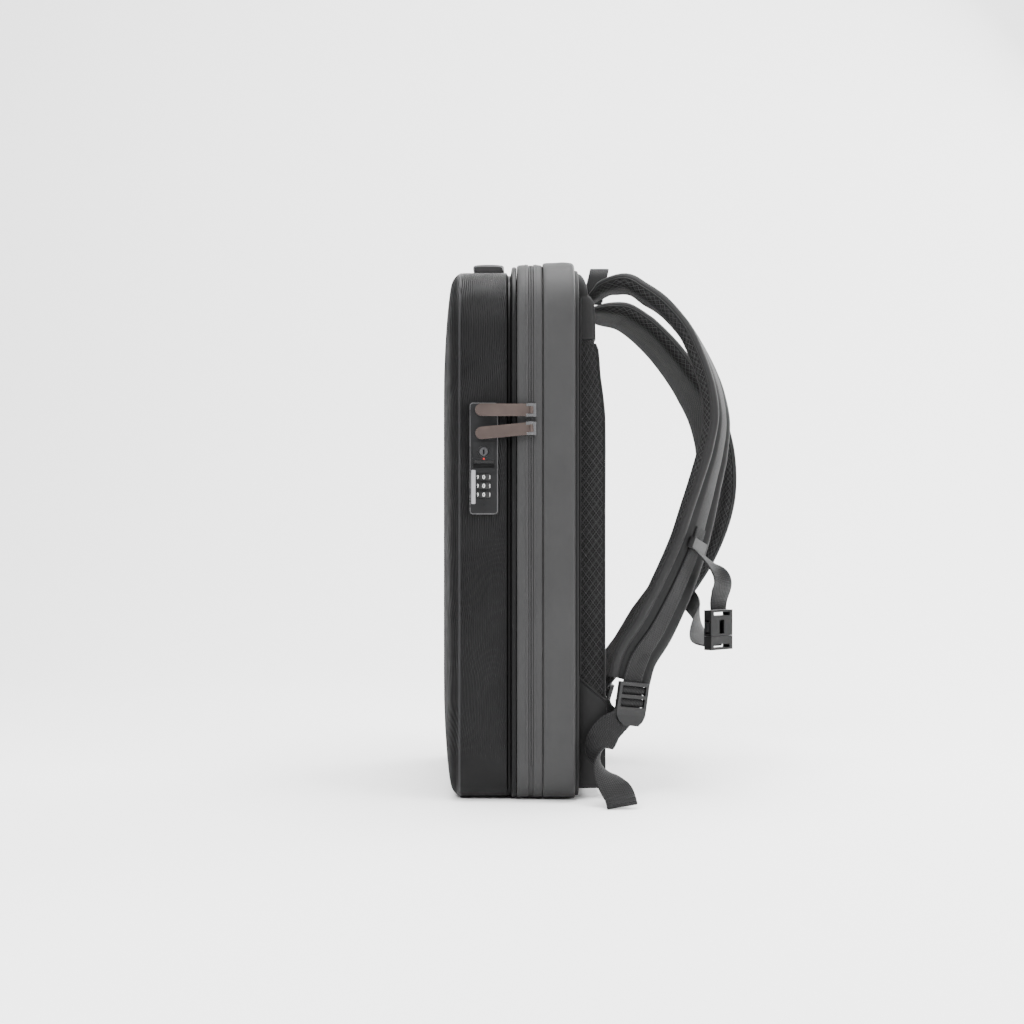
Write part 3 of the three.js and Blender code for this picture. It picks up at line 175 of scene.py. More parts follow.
# Routes of the shoulder straps: out, side, up, turn, wide, thick
NEAR_STRAP = (
    (0, -0.293, 0.9458, 0, 0.8, 0.36), (0.03, -0.293, 0.9459, 0, 0.81, 0.4),
    (0.07, -0.3, 0.954, 0, 0.82, 0.55), (0.15, -0.33, 0.967, 0, 0.88, 0.8),
    (0.28, -0.387, 0.9693, 2, 0.94, 1), (0.39, -0.427, 0.9512, 4, 0.98, 1),
    (0.51, -0.467, 0.9226, 6, 1, 1), (0.633, -0.513, 0.8768, 8, 1, 1),
    (0.723, -0.56, 0.8218, 11, 1, 1), (0.788, -0.6, 0.7637, 14, 1, 1),
    (0.812, -0.633, 0.7061, 17, 1, 1), (0.787, -0.66, 0.649, 20, 1, 0.96),
    (0.739, -0.687, 0.5922, 23, 0.98, 0.93), (0.687, -0.707, 0.5358, 27, 0.96, 0.9),
    (0.622, -0.727, 0.4701, 31, 0.94, 0.86), (0.513, -0.753, 0.3899, 37, 0.9, 0.8),
    (0.393, -0.773, 0.3155, 43, 0.84, 0.7), (0.285, -0.793, 0.2619, 50, 0.74, 0.6),
    (0.247, -0.8, 0.218, 56, 0.66, 0.5),
)
FAR_STRAP = (
    (0, 0.293, 0.9412, 0, 0.8, 0.36), (0.03, 0.293, 0.9413, 0, 0.81, 0.42),
    (0.07, 0.3, 0.9424, -3, 0.82, 0.55), (0.17, 0.32, 0.9424, -7, 0.88, 0.85),
    (0.284, 0.347, 0.9371, -9, 0.94, 1), (0.41, 0.373, 0.9152, -10, 0.98, 1),
    (0.538, 0.4, 0.8806, -11, 1, 1), (0.666, 0.433, 0.8356, -12, 1, 1),
    (0.782, 0.467, 0.7861, -14, 1, 1), (0.878, 0.507, 0.7343, -16, 1, 1),
    (0.939, 0.547, 0.678, -18, 1, 1), (0.964, 0.58, 0.6211, -20, 1, 1),
    (0.957, 0.607, 0.566, -22, 1, 0.96), (0.914, 0.633, 0.5107, -24, 0.98, 0.92),
    (0.839, 0.66, 0.4551, -26, 0.96, 0.88), (0.735, 0.687, 0.4014, -28, 0.93, 0.84),
    (0.609, 0.713, 0.3474, -30, 0.89, 0.78), (0.476, 0.74, 0.2953, -32, 0.83, 0.7),
    (0.348, 0.765, 0.244, -28, 0.76, 0.6), (0.24, 0.79, 0.208, -22, 0.7, 0.55),
    (0.172, 0.815, 0.173, -16, 0.64, 0.5),
)

# Free ends: back, aside, up, turn, fold
NEAR_TAIL = (
    (-0.167, -0.2, 0.66, 60, 1), (-0.3, -0.233, 0.6, 78, 1), (-0.392, -0.267, 0.52, 96, 1),
    (-0.45, -0.317, 0.44, 130, 1), (-0.425, -0.433, 0.345, 176, 1), (-0.358, -0.583, 0.26, 216, 1),
    (-0.275, -0.733, 0.18, 240, 1), (-0.192, -0.867, 0.11, 258, 1), (-0.167, -0.95, 0.066, 266, 3),
    (-0.158, -1.017, 0.04, 267, 3),
)
FAR_TAIL = (
    (-0.05, 0.117, 0.44, -20, 1), (-0.1, 0.167, 0.4, -34, 1), (-0.15, 0.25, 0.33, -48, 1),
    (-0.2, 0.35, 0.25, -62, 1), (-0.217, 0.467, 0.15, -76, 1), (-0.217, 0.55, 0.085, -86, 3),
    (-0.217, 0.617, 0.045, -90, 3),
)


def sides():
    """Each side of the bag: its name, sign along Y, strap route and free end."""
    return (("near", -1, NEAR_STRAP, NEAR_TAIL), ("far", 1, FAR_STRAP, FAR_TAIL))


class BackpackSizes(bpy.types.PropertyGroup):
    stitch_length: FloatProperty(
        name="Stitch length", description="Length of one stitch of the seams beside the zip",
        default=0.0026, unit="LENGTH")
    coil_pitch: FloatProperty(
        name="Coil pitch", description="Distance between two turns of the zip's coil",
        default=0.0016, unit="LENGTH")
    wrinkle_depth: FloatProperty(
        name="Wrinkle depth", description="How deep the soft folds of the fabric bands are",
        default=0.0006, unit="LENGTH")
    contour_pitch: FloatProperty(
        name="Contour pitch", description="Distance between the engraved lines of the shell",
        default=0.0018, unit="LENGTH")
    net_width: FloatProperty(
        name="Net width", description="Width of one diamond of the padding's mesh",
        default=0.0024, unit="LENGTH")
    diamond_width: FloatProperty(
        name="Diamond width", description="Width of one large diamond knitted into the back's mesh",
        default=0.0058, unit="LENGTH")
    edge_round: FloatProperty(
        name="Edge round", description="Radius of the moulded edges of the plastic fittings",
        default=0.0005, unit="LENGTH")


def colour(label, description, value):
    return FloatVectorProperty(
        name=label, description=description, subtype="COLOR", size=3, min=0, max=1, default=value)


class BackpackColours(bpy.types.PropertyGroup):
    shell: colour("Shell", "Moulded plastic of the hard front", (0.0042, 0.0042, 0.0044))
    coated: colour("Coated cloth", "Smooth cloth of the two bands", (0.0235, 0.0235, 0.0238))
    smooth: colour("Smooth cloth", "Cloth of the yoke, wings and strap edges", (0.0095, 0.0095, 0.0097))
    net: colour("Net", "Yarn of the padding's mesh", (0.0115, 0.0115, 0.0117))
    webbing: colour("Webbing", "Yarn of the webbing", (0.0072, 0.0072, 0.0074))
    plastic: colour("Fittings", "Black plastic of the buckles and locks", (0.005, 0.005, 0.0052))
    lock: colour("Lock plate", "Satin plastic of the lock's plate", (0.009, 0.0092, 0.0096))
    pull: colour("Zip pulls", "Brown grey metal of the zip's pulls", (0.058, 0.045, 0.041))
    chrome: colour("Chrome", "Polished metal of the sliders and the key's lock", (0.34, 0.34, 0.35))
    floor: colour("Floor", "Pale floor and backdrop", (0.96, 0.96, 0.96))


def sizes():
    return bpy.context.scene.backpack_sizes


def colours():
    return bpy.context.scene.backpack_colours


# Meshes

def make_piece(name, points, faces, corner_uvs=None, sharp=38):
    """Mesh object from points in millimetres, smooth except over sharp angles."""
    mesh = bpy.data.meshes.new(name)
    mesh.from_pydata([tuple(p) for p in np.asarray(points, float) * MM], [], faces)
    if corner_uvs is not None:
        layer = mesh.uv_layers.new(name=UV_NAME)
        layer.data.foreach_set("uv", (np.asarray(corner_uvs, float) * MM).ravel())
    mesh.shade_smooth()
    mesh.set_sharp_from_angle(angle=math.radians(sharp))
    piece = bpy.data.objects.new(name, mesh)
    bpy.context.scene.collection.objects.link(piece)
    return piece


def run_lengths(points, closed):
    """Running length along a row of points."""
    steps = np.linalg.norm(np.diff(points, axis=0), axis=1)
    if closed:
        steps = np.append(steps, np.linalg.norm(points[0] - points[-1]))
    return np.concatenate([[0.0], np.cumsum(steps)])


def loft(name, rings, joined=False, caps=True, sharp=38):
    """Closed skin through rings of equally many points."""
    rings = np.asarray(rings, float)
    rows, count = rings.shape[:2]
    around = run_lengths(rings[rows // 2], True)
    along = run_lengths(rings.mean(axis=1), joined)
    faces, uvs = [], []
    for row in range(rows if joined else rows - 1):
        nxt = (row + 1) % rows
        for i in range(count):
            j = (i + 1) % count
            faces.append((row * count + i, row * count + j, nxt * count + j, nxt * count + i))
            uvs += [(around[i], along[row]), (around[i + 1], along[row]),
                    (around[i + 1], along[row + 1]), (around[i], along[row + 1])]
    if caps and not joined:
        faces.append(tuple(reversed(range(count))))
        faces.append(tuple((rows - 1) * count + i for i in range(count)))
        uvs += [(around[i], along[0]) for i in reversed(range(count))]
        uvs += [(around[i], along[-1]) for i in range(count)]
    piece = make_piece(name, rings.reshape(-1, 3), faces, uvs, sharp)
    volume = sum(
        np.dot(rings.reshape(-1, 3)[f[0]], np.cross(rings.reshape(-1, 3)[f[1]], rings.reshape(-1, 3)[f[2]]))
        for f in faces)
    if volume < 0:
        piece.data.flip_normals()
    return piece


def dress(piece, body, finish, slot, *nodes):
    """Gives a piece its finish, its body and the nodes it stands for."""
    piece.data.materials.clear()
    piece.data.materials.append(finish)
    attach(piece, body)
    if nodes:
        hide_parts(*nodes)
    return piece


def dress_node(name, finish, round_edge=0.0, segments=2):
    """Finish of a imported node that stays, with its edges rounded by a modifier."""
    node = NODES[name]
    node.data.materials.clear()
    node.data.materials.append(finish)
    if round_edge:
        bevel = node.modifiers.new("Moulded edges", "BEVEL")
        bevel.width = round_edge
        bevel.segments = segments
        bevel.limit_method = "ANGLE"
        bevel.angle_limit = math.radians(35)
        bevel.harden_normals = False
    node.data.shade_smooth()
    node.data.set_sharp_from_angle(angle=math.radians(35))
    return node


def smoothed(table, share):
    """Value of a table of (place, value) rows at a share, along a smooth curve."""
    places = [row[0] for row in table]
    index = min(max(np.searchsorted(places, share) - 1, 0), len(table) - 2)
    low, high = table[index], table[index + 1]
    span = high[0] - low[0]
    part = (share - low[0]) / span
    before = table[index - 1] if index else low
    after = table[index + 2] if index + 2 < len(table) else high
    leave = span * (high[1] - before[1]) / max(high[0] - before[0], 1e-6)
    arrive = span * (after[1] - low[1]) / max(after[0] - low[0], 1e-6)
    square, cube = part ** 2, part ** 3
    return ((2 * cube - 3 * square + 1) * low[1] + (cube - 2 * square + part) * leave
            + (3 * square - 2 * cube) * high[1] + (cube - square) * arrive)


def outline(x, top, side, foot, shrink=0.0, steps=CORNER_STEPS, run=RUN_STEPS):
    """Rounded outline of the bag at depth x, with even points along its straight runs."""
    half = HALF_WIDTH - side
    top_radius = max(TOP_RADIUS - shrink, 4.0)
    foot_radius = max(FOOT_RADIUS - shrink, 4.0)
    corners = (
        (half - foot_radius, foot + foot_radius, foot_radius, -90),
        (half - top_radius, BODY_HEIGHT - top - top_radius, top_radius, 0),
        (top_radius - half, BODY_HEIGHT - top - top_radius, top_radius, 90),
        (foot_radius - half, foot + foot_radius, foot_radius, 180),
    )
    arcs = []
    for y, z, radius, start in corners:
        angles = np.radians(start + np.linspace(0, 90, steps + 1))
        arcs.append(np.stack([np.full(steps + 1, x), y + radius * np.cos(angles), z + radius * np.sin(angles)], 1))
    ring = []
    for index, arc in enumerate(arcs):
        after = arcs[(index + 1) % len(arcs)][0]
        parts = np.linspace(0, 1, run + 1)[1:-1, None]
        ring += [arc, arc[-1] * (1 - parts) + after * parts]
    return np.concatenate(ring)


def band_ring(start, depth, drop, share, lift):
    return outline(start + share * depth, drop - lift, (drop - lift) * SIDE_SHARE, 0)


def outward(ring):
    """Outward direction in the outline's plane at each of its points."""
    ahead = np.roll(ring, -1, axis=0) - np.roll(ring, 1, axis=0)
    normal = np.stack([np.zeros(len(ring)), ahead[:, 2], -ahead[:, 1]], 1)
    return normal / np.linalg.norm(normal, axis=1)[:, None]


def band(name, start, depth, drop, wall, rows, wrinkle):
    """Fabric band round the bag, with long soft folds, its base kept on the floor."""
    rings = []
    for share, lift in rows:
        ring = band_ring(start, depth, drop, share, lift)
        normal = outward(ring)
        length = run_lengths(ring, True)
        fade = math.sin(math.pi * min(max(share, 0), 1)) ** 0.5
        for i, point in enumerate(ring):
            fold = noise.noise(Vector((share * 3.1, length[i] / 70, start)))
            pucker = noise.noise(Vector((share * 2, length[i] / 9, start + 5)))
            push = wrinkle * fade * (fold + 0.25 * pucker - 0.2)
            if point[2] < 1.5:
                push = min(push, 0.0)
            point += normal[i] * push
            point[2] = max(point[2], 0.0)
        rings.append(ring)
    for share in (1, 0):
        rings.append(outline(start + share * depth, drop + wall, drop * SIDE_SHARE + wall, wall, wall))
    return loft(name, rings, joined=True)


def three_curve(points, share):
    """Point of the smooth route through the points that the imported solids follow."""
    last = len(points) - 1
    place = share * last
    index = min(int(place), last - 1)
    part = place - index
    p1, p2 = points[index], points[index + 1]
    p0 = points[index - 1] if index else 2 * points[0] - points[1]
    p3 = points[index + 2] if index + 2 <= last else 2 * points[last] - points[last - 1]
    d0, d1, d2 = (max(np.dot(b - a, b - a), 1e-12) ** 0.25 for a, b in ((p0, p1), (p1, p2), (p2, p3)))
    t1 = ((p1 - p0) / d0 - (p2 - p0) / (d0 + d1) + (p2 - p1) / d1) * d1
    t2 = ((p2 - p1) / d1 - (p3 - p1) / (d1 + d2) + (p3 - p2) / d2) * d1
    return (p1 + t1 * part + (-3 * p1 + 3 * p2 - 2 * t1 - t2) * part ** 2
            + (2 * p1 - 2 * p2 + t1 + t2) * part ** 3)


def unit(vector):
    return vector / np.linalg.norm(vector)


def frame_at(place, heading, turn):
    """Directions at a place of a route: heading, side and face, turned about the heading."""
    level = unit(np.array([0.0, 1.0, 0.0]) - heading * heading[1])
    up = np.cross(heading, level)
    angle = math.radians(turn)
    return {
        "place": place, "heading": heading, "turn": turn,
        "side": level * math.cos(angle) + up * math.sin(angle),
        "face": up * math.cos(angle) - level * math.sin(angle),
    }


def stations(points, turns, steps, **columns):
    """Frames along a route, with each column's value there."""
    points = np.asarray(points, float)
    found = []
    for step in range(steps + 1):
        share = step / steps
        row = min(int(share * (len(points) - 1)), len(points) - 2)
        part = share * (len(points) - 1) - row
        low, high = max(share - 1e-4, 0), min(share + 1e-4, 1)
        heading = unit(three_curve(points, high) - three_curve(points, low))
        turn = turns[row] + part * (turns[row + 1] - turns[row])
        station = frame_at(three_curve(points, share), heading, turn)
        for name, values in columns.items():
            station[name] = values[row] + part * (values[row + 1] - values[row])
        found.append(station)
    return found


def strap_path(route, steps=STRAP_STEPS):
    points = [(STRAP_START + out * STRAP_REACH, side * HALF_WIDTH, up * BODY_HEIGHT)
              for out, side, up, *_ in route]
    return stations(points, [row[3] for row in route], steps,
                    wide=[row[4] for row in route], thick=[row[5] for row in route])


def offset(station, sideways, out):
    return station["place"] + station["side"] * sideways + station["face"] * out


def lifted(path, start, end, above):
    """Stretch of a strap's path, lifted onto its outer face."""
    steps = len(path) - 1
    part = path[round(start * steps):round(end * steps) + 1]
    return [{**s, "place": offset(s, 0, s["thick"] * STRAP_THICK / 2 + SEAT_GAP + above)} for s in part]


# Section of a woven strap: across as a share of the half width, out of the half thickness
WEB_SECTION = (
    (-1, 0), (-0.985, -0.7), (-0.94, -1), (-0.5, -1), (0, -1), (0.5, -1), (0.94, -1), (0.985, -0.7),
    (1, 0), (0.985, 0.7), (0.94, 1), (0.5, 1), (0, 1), (-0.5, 1), (-0.94, 1), (-0.985, 0.7),
)


def ribbon(name, path, width, thick=WEB_THICK):
    """Flat webbing with soft edges along a path of frames."""
    return loft(name, [
        [offset(s, across * width / 2, out * s.get("fold", 1) * thick / 2) for across, out in WEB_SECTION]
        for s in path], sharp=60)


def slack_path(start, leave, end, arrive, start_side, end_side, steps=40):
    """Frames of a slack web between two places, leaving and arriving by the given reaches."""
    control = (start, start + leave, end - arrive, end)
    found = []
    for step in range(steps + 1):
        t = step / steps
        weights = ((1 - t) ** 3, 3 * t * (1 - t) ** 2, 3 * t * t * (1 - t), t ** 3)
        place = sum(w * c for w, c in zip(weights, control))
        slopes = (3 * (1 - t) ** 2, 6 * t * (1 - t), 3 * t * t)
        heading = unit(sum(w * (b - a) for w, a, b in zip(slopes, control, control[1:])))
        wide = start_side + (end_side - start_side) * min(1, t * WEB_TURN_RATE)
        side = unit(wide - heading * np.dot(wide, heading))
        found.append({"place": place, "heading": heading, "side": side, "face": np.cross(heading, side)})
    return found


def capsules(name, places, directions, ups, length, radius, flat=0.6, sides=6):
    """Row of small rounded rods, such as stitches or zip teeth, as one mesh."""
    points, faces = [], []
    for place, direction, up in zip(places, directions, ups):
        direction = unit(direction)
        wide = unit(np.cross(up, direction))
        rise = np.cross(direction, wide)
        base = len(points)
        for along, scale in ((-0.5, 0.45), (-0.32, 1.0), (0.32, 1.0), (0.5, 0.45)):
            for k in range(sides):
                angle = 2 * math.pi * k / sides
                points.append(place + direction * along * length + (
                    wide * math.cos(angle) + rise * math.sin(angle) * flat) * radius * scale)
        for row in range(3):
            for k in range(sides):
                m = (k + 1) % sides
                faces.append((base + row * sides + k, base + row * sides + m,
                              base + (row + 1) * sides + m, base + (row + 1) * sides + k))
        faces.append(tuple(base + k for k in reversed(range(sides))))
        faces.append(tuple(base + 3 * sides + k for k in range(sides)))
    return make_piece(name, points, faces, sharp=60)


def evenly(points, normals, pitch, start=0.0, end=None):
    """Places, directions and normals at an even pitch along a row of points."""
    points, normals = np.asarray(points, float), np.asarray(normals, float)
    length = run_lengths(points, False)
    wanted = np.arange(start, length[-1] if end is None else end, pitch)
    place = np.stack([np.interp(wanted, length, points[:, k]) for k in range(3)], 1)
    normal = np.stack([np.interp(wanted, length, normals[:, k]) for k in range(3)], 1)
    ahead = np.stack([np.interp(wanted + 0.5, length, points[:, k]) for k in range(3)], 1)
    behind = np.stack([np.interp(wanted - 0.5, length, points[:, k]) for k in range(3)], 1)
    return place, ahead - behind, normal


def rod(name, points, radius, sides=8):
    """Round bead, such as a piping, along a row of points."""
    points = np.asarray(points, float)
    rings = []
    for i, point in enumerate(points):
        heading = unit(points[min(i + 1, len(points) - 1)] - points[max(i - 1, 0)])
        guide = np.array([0.0, 1.0, 0.0]) if abs(heading[1]) < 0.8 else np.array([1.0, 0.0, 0.0])
        wide = unit(np.cross(heading, guide))
        rise = np.cross(heading, wide)
        rings.append([point + radius * (wide * math.cos(a) + rise * math.sin(a))
                      for a in np.linspace(0, 2 * math.pi, sides, endpoint=False)])
    return loft(name, rings, sharp=60)


# Shader node groups

def group_of(name, inputs, outputs):
    """New shader node group with its sockets, its input node and its output node."""
    group = bpy.data.node_groups.new(name, "ShaderNodeTree")
    for label, kind, value in inputs:
        socket = group.interface.new_socket(label, in_out="INPUT", socket_type=kind)
        if value is not None:
            socket.default_value = value
    for label, kind in outputs:
        group.interface.new_socket(label, in_out="OUTPUT", socket_type=kind)
    return group, group.nodes.new("NodeGroupInput"), group.nodes.new("NodeGroupOutput")


def join(tree, value, socket):
    if isinstance(value, bpy.types.NodeSocket):
        tree.links.new(value, socket)
    else:
        socket.default_value = value


def calc(tree, operation, *values):
    node = tree.nodes.new("ShaderNodeMath")
    node.operation = operation
    for value, socket in zip(values, node.inputs):
        join(tree, value, socket)
    return node.outputs[0]


def blend_colours(tree, factor, first, second, mode="MIX"):
    node = tree.nodes.new("ShaderNodeMix")
    node.data_type = "RGBA"
    node.blend_type = mode
    for value, index in ((factor, 0), (first, 6), (second, 7)):
        join(tree, value, node.inputs[index])
    return node.outputs[2]


def ramp(tree, value, low, high, to_low=0.0, to_high=1.0):
    node = tree.nodes.new("ShaderNodeMapRange")
    node.interpolation_type = "SMOOTHSTEP"
    for item, index in ((value, 0), (low, 1), (high, 2), (to_low, 3), (to_high, 4)):
        join(tree, item, node.inputs[index])
    return node.outputs[0]


def parts(tree, vector):
    node = tree.nodes.new("ShaderNodeSeparateXYZ")
    tree.links.new(vector, node.inputs[0])
    return node.outputs


def cloud(tree, vector, scale, detail=3.0, roughness=0.55):
    """Noise value over a vector."""
    node = tree.nodes.new("ShaderNodeTexNoise")
    tree.links.new(vector, node.inputs["Vector"])
    join(tree, scale, node.inputs["Scale"])
    node.inputs["Detail"].default_value = detail
    node.inputs["Roughness"].default_value = roughness
    return node.outputs[0]


def grain_group():
    """Moulded grain: fine pebbles and slower clouds."""
    found = bpy.data.node_groups.get("Grain")
    if found:
        return found
    group, source, result = group_of(
        "Grain",
        (("Vector", "NodeSocketVector", None), ("Scale", "NodeSocketFloat", 900.0)),
        (("Height", "NodeSocketFloat"), ("Clouds", "NodeSocketFloat")))
    fine = cloud(group, source.outputs[0], source.outputs[1], 2.0)
    slow = cloud(group, source.outputs[0], calc(group, "MULTIPLY", source.outputs[1], 0.03), 4.0)
    join(group, fine, result.inputs[0])
    join(group, slow, result.inputs[1])
    return group


def weave_group():
    """Woven webbing: ribs along it, crossed by slanting picks."""
    found = bpy.data.node_groups.get("Webbing weave")
    if found:
        return found
    group, source, result = group_of(
        "Webbing weave",
        (("Vector", "NodeSocketVector", None), ("Rib", "NodeSocketFloat", 0.0016),
         ("Pick", "NodeSocketFloat", 0.0022)),
        (("Height", "NodeSocketFloat"), ("Shade", "NodeSocketFloat")))
    across, along, _ = parts(group, source.outputs[0])
    rib = calc(group, "DIVIDE", across, source.outputs[1])
    pick = calc(group, "DIVIDE", along, source.outputs[2])
    ribs = calc(group, "ABSOLUTE", calc(group, "SINE", calc(group, "MULTIPLY", rib, math.pi)))
    slant = calc(group, "ADD", calc(group, "MULTIPLY", pick, 2 * math.pi), calc(group, "MULTIPLY", rib, math.pi))
    picks = calc(group, "MULTIPLY_ADD", calc(group, "SINE", slant), 0.5, 0.5)
    height = calc(group, "ADD", calc(group, "MULTIPLY", ribs, 0.55), calc(group, "MULTIPLY", picks, 0.45))
    join(group, height, result.inputs[0])
    join(group, ramp(group, height, 0.15, 0.85), result.inputs[1])
    return group


def net_group():
    """Knitted spacer mesh: diamond holes between crossing yarns."""
    found = bpy.data.node_groups.get("Diamond net")
    if found:
        return found
    group, source, result = group_of(
        "Diamond net",
        (("Vector", "NodeSocketVector", None), ("Width", "NodeSocketFloat", 0.0034),
         ("Length", "NodeSocketFloat", 0.0046), ("Thin", "NodeSocketFloat", 0.26)),
        (("Height", "NodeSocketFloat"), ("Yarn", "NodeSocketFloat")))
    across, along, _ = parts(group, source.outputs[0])
    u = calc(group, "DIVIDE", across, source.outputs[1])
    v = calc(group, "DIVIDE", along, source.outputs[2])
    walls = []
    for operation in ("ADD", "SUBTRACT"):
        place = calc(group, "FRACT", calc(group, operation, u, v))
        walls.append(calc(group, "ABSOLUTE", calc(group, "SUBTRACT", place, 0.5)))
    start = calc(group, "SUBTRACT", 0.5, source.outputs[3])
    yarn = ramp(group, calc(group, "MAXIMUM", *walls), start, calc(group, "MULTIPLY_ADD", source.outputs[3], -0.4, 0.5))
    twist = calc(group, "SINE", calc(group, "MULTIPLY", calc(group, "ADD", u, v), 8 * math.pi))
    height = calc(group, "MULTIPLY", yarn, calc(group, "MULTIPLY_ADD", twist, 0.12, 0.88))
    join(group, height, result.inputs[0])
    join(group, yarn, result.inputs[1])
    return group


def contour_group():
    """Engraved lines that wander like those of a relief map."""
    found = bpy.data.node_groups.get("Contour lines")
    if found:
        return found
    group, source, result = group_of(
        "Contour lines",
        (("Vector", "NodeSocketVector", None), ("Pitch", "NodeSocketFloat", 0.0024),
         ("Warp", "NodeSocketFloat", 0.03)),
        (("Height", "NodeSocketFloat"), ("Line", "NodeSocketFloat")))
    x, _, _ = parts(group, source.outputs[0])
    wander = calc(group, "SUBTRACT", cloud(group, source.outputs[0], 11.0, 1.0, 0.4), 0.5)
    place = calc(group, "MULTIPLY_ADD", wander, source.outputs[2], x)
    wave = calc(group, "MULTIPLY", calc(group, "DIVIDE", place, source.outputs[1]), 2 * math.pi)
    height = calc(group, "MULTIPLY_ADD", calc(group, "SINE", wave), 0.5, 0.5)
    join(group, height, result.inputs[0])
    join(group, ramp(group, height, 0.7, 0.98), result.inputs[1])
    return group


def wear_group():
    """Rubbed edges and slow fading of a colour."""
    found = bpy.data.node_groups.get("Edge wear")
    if found:
        return found
    group, source, result = group_of(
        "Edge wear",
        (("Colour", "NodeSocketColor", (0.1, 0.1, 0.1, 1)), ("Rubbed", "NodeSocketColor", (0.2, 0.2, 0.2, 1)),
         ("Wear", "NodeSocketFloat", 0.4), ("Vector", "NodeSocketVector", None),
         ("Scale", "NodeSocketFloat", 30.0)),
        (("Colour", "NodeSocketColor"), ("Mask", "NodeSocketFloat")))
    slow = cloud(group, source.outputs[3], source.outputs[4], 5.0)
    geometry = group.nodes.new("ShaderNodeNewGeometry")
    edge = ramp(group, geometry.outputs["Pointiness"], 0.52, 0.62)
    mask = calc(group, "MULTIPLY", calc(group, "MULTIPLY", edge, source.outputs[2]), slow)
    faded = blend_colours(group, ramp(group, slow, 0.3, 0.75, 0.0, 0.22), source.outputs[0], source.outputs[1])
    join(group, blend_colours(group, mask, faded, source.outputs[1]), result.inputs[0])
    join(group, mask, result.inputs[1])
    return group


def place_group(tree, group, **values):
    node = tree.nodes.new("ShaderNodeGroup")
    node.node_tree = group
    for label, value in values.items():
        join(tree, value, node.inputs[label])
    return node


def start_finish(name, roughness, metallic=0.0, **sockets):
    """New material with its shader; further sockets by their own labels."""
    made = bpy.data.materials.new(name)
    made.use_nodes = True
    tree = made.node_tree
    shader = tree.nodes["Principled BSDF"]
    shader.inputs["Roughness"].default_value = roughness
    shader.inputs["Metallic"].default_value = metallic
    for label, value in sockets.items():
        shader.inputs[label.replace("_", " ")].default_value = value
    spot = tree.nodes.new("ShaderNodeTexCoord").outputs["Object"]
    return made, tree, shader, spot


def raise_surface(tree, shader, height, distance, strength=1.0):
    bump = tree.nodes.new("ShaderNodeBump")
    bump.inputs["Distance"].default_value = distance
    bump.inputs["Strength"].default_value = strength
    tree.links.new(height, bump.inputs["Height"])
    tree.links.new(bump.outputs[0], shader.inputs["Normal"])


def lighter(shade, factor):
    return tuple(min(1.0, c * factor) for c in shade) + (1.0,)


def plain_finish(name, shade, roughness, grain, distance, wear=0.5, rubbed=2.2, metallic=0.0, **sockets):
    """Moulded or cast finish: grain, slow clouds and rubbed edges."""
    found = bpy.data.materials.get(name)
    if found:
        return found
    made, tree, shader, spot = start_finish(name, roughness, metallic, **{"Specular_IOR_Level": 0.25, **sockets})
    pebbles = place_group(tree, grain_group(), Vector=spot, Scale=grain)
    worn = place_group(tree, wear_group(), Colour=lighter(shade, 1), Rubbed=lighter(shade, rubbed),
                       Wear=wear, Vector=spot, Scale=45.0)
    tree.links.new(worn.outputs[0], shader.inputs["Base Color"])
    tree.links.new(ramp(tree, pebbles.outputs[1], 0.3, 0.7, roughness - 0.05, roughness + 0.06),
                   shader.inputs["Roughness"])
    raise_surface(tree, shader, pebbles.outputs[0], distance)
    return made


def fitting_plastic():
    return plain_finish("Fitting plastic", colours().plastic, 0.42, 1400.0, 0.00004, rubbed=3.0)


def key_metal():
    return plain_finish("Key metal", (0.05, 0.05, 0.052), 0.25, 700.0, 0.00001, wear=0.8, rubbed=5.0, metallic=1.0)


def lock_plastic():
    return plain_finish("Lock plate", colours().lock, 0.36, 1800.0, 0.00002, rubbed=2.6, metallic=0.35)


def pull_metal():
    return plain_finish("Pull metal", colours().pull, 0.36, 900.0, 0.00002, wear=0.9, rubbed=1.9, metallic=0.75)


def chrome_metal():
    return plain_finish("Chrome", colours().chrome, 0.16, 700.0, 0.00001, wear=0.2, rubbed=1.3, metallic=1.0)


def handle_rubber():
    return plain_finish("Handle rubber", (0.009, 0.009, 0.0093), 0.48, 1200.0, 0.00006, rubbed=2.4)


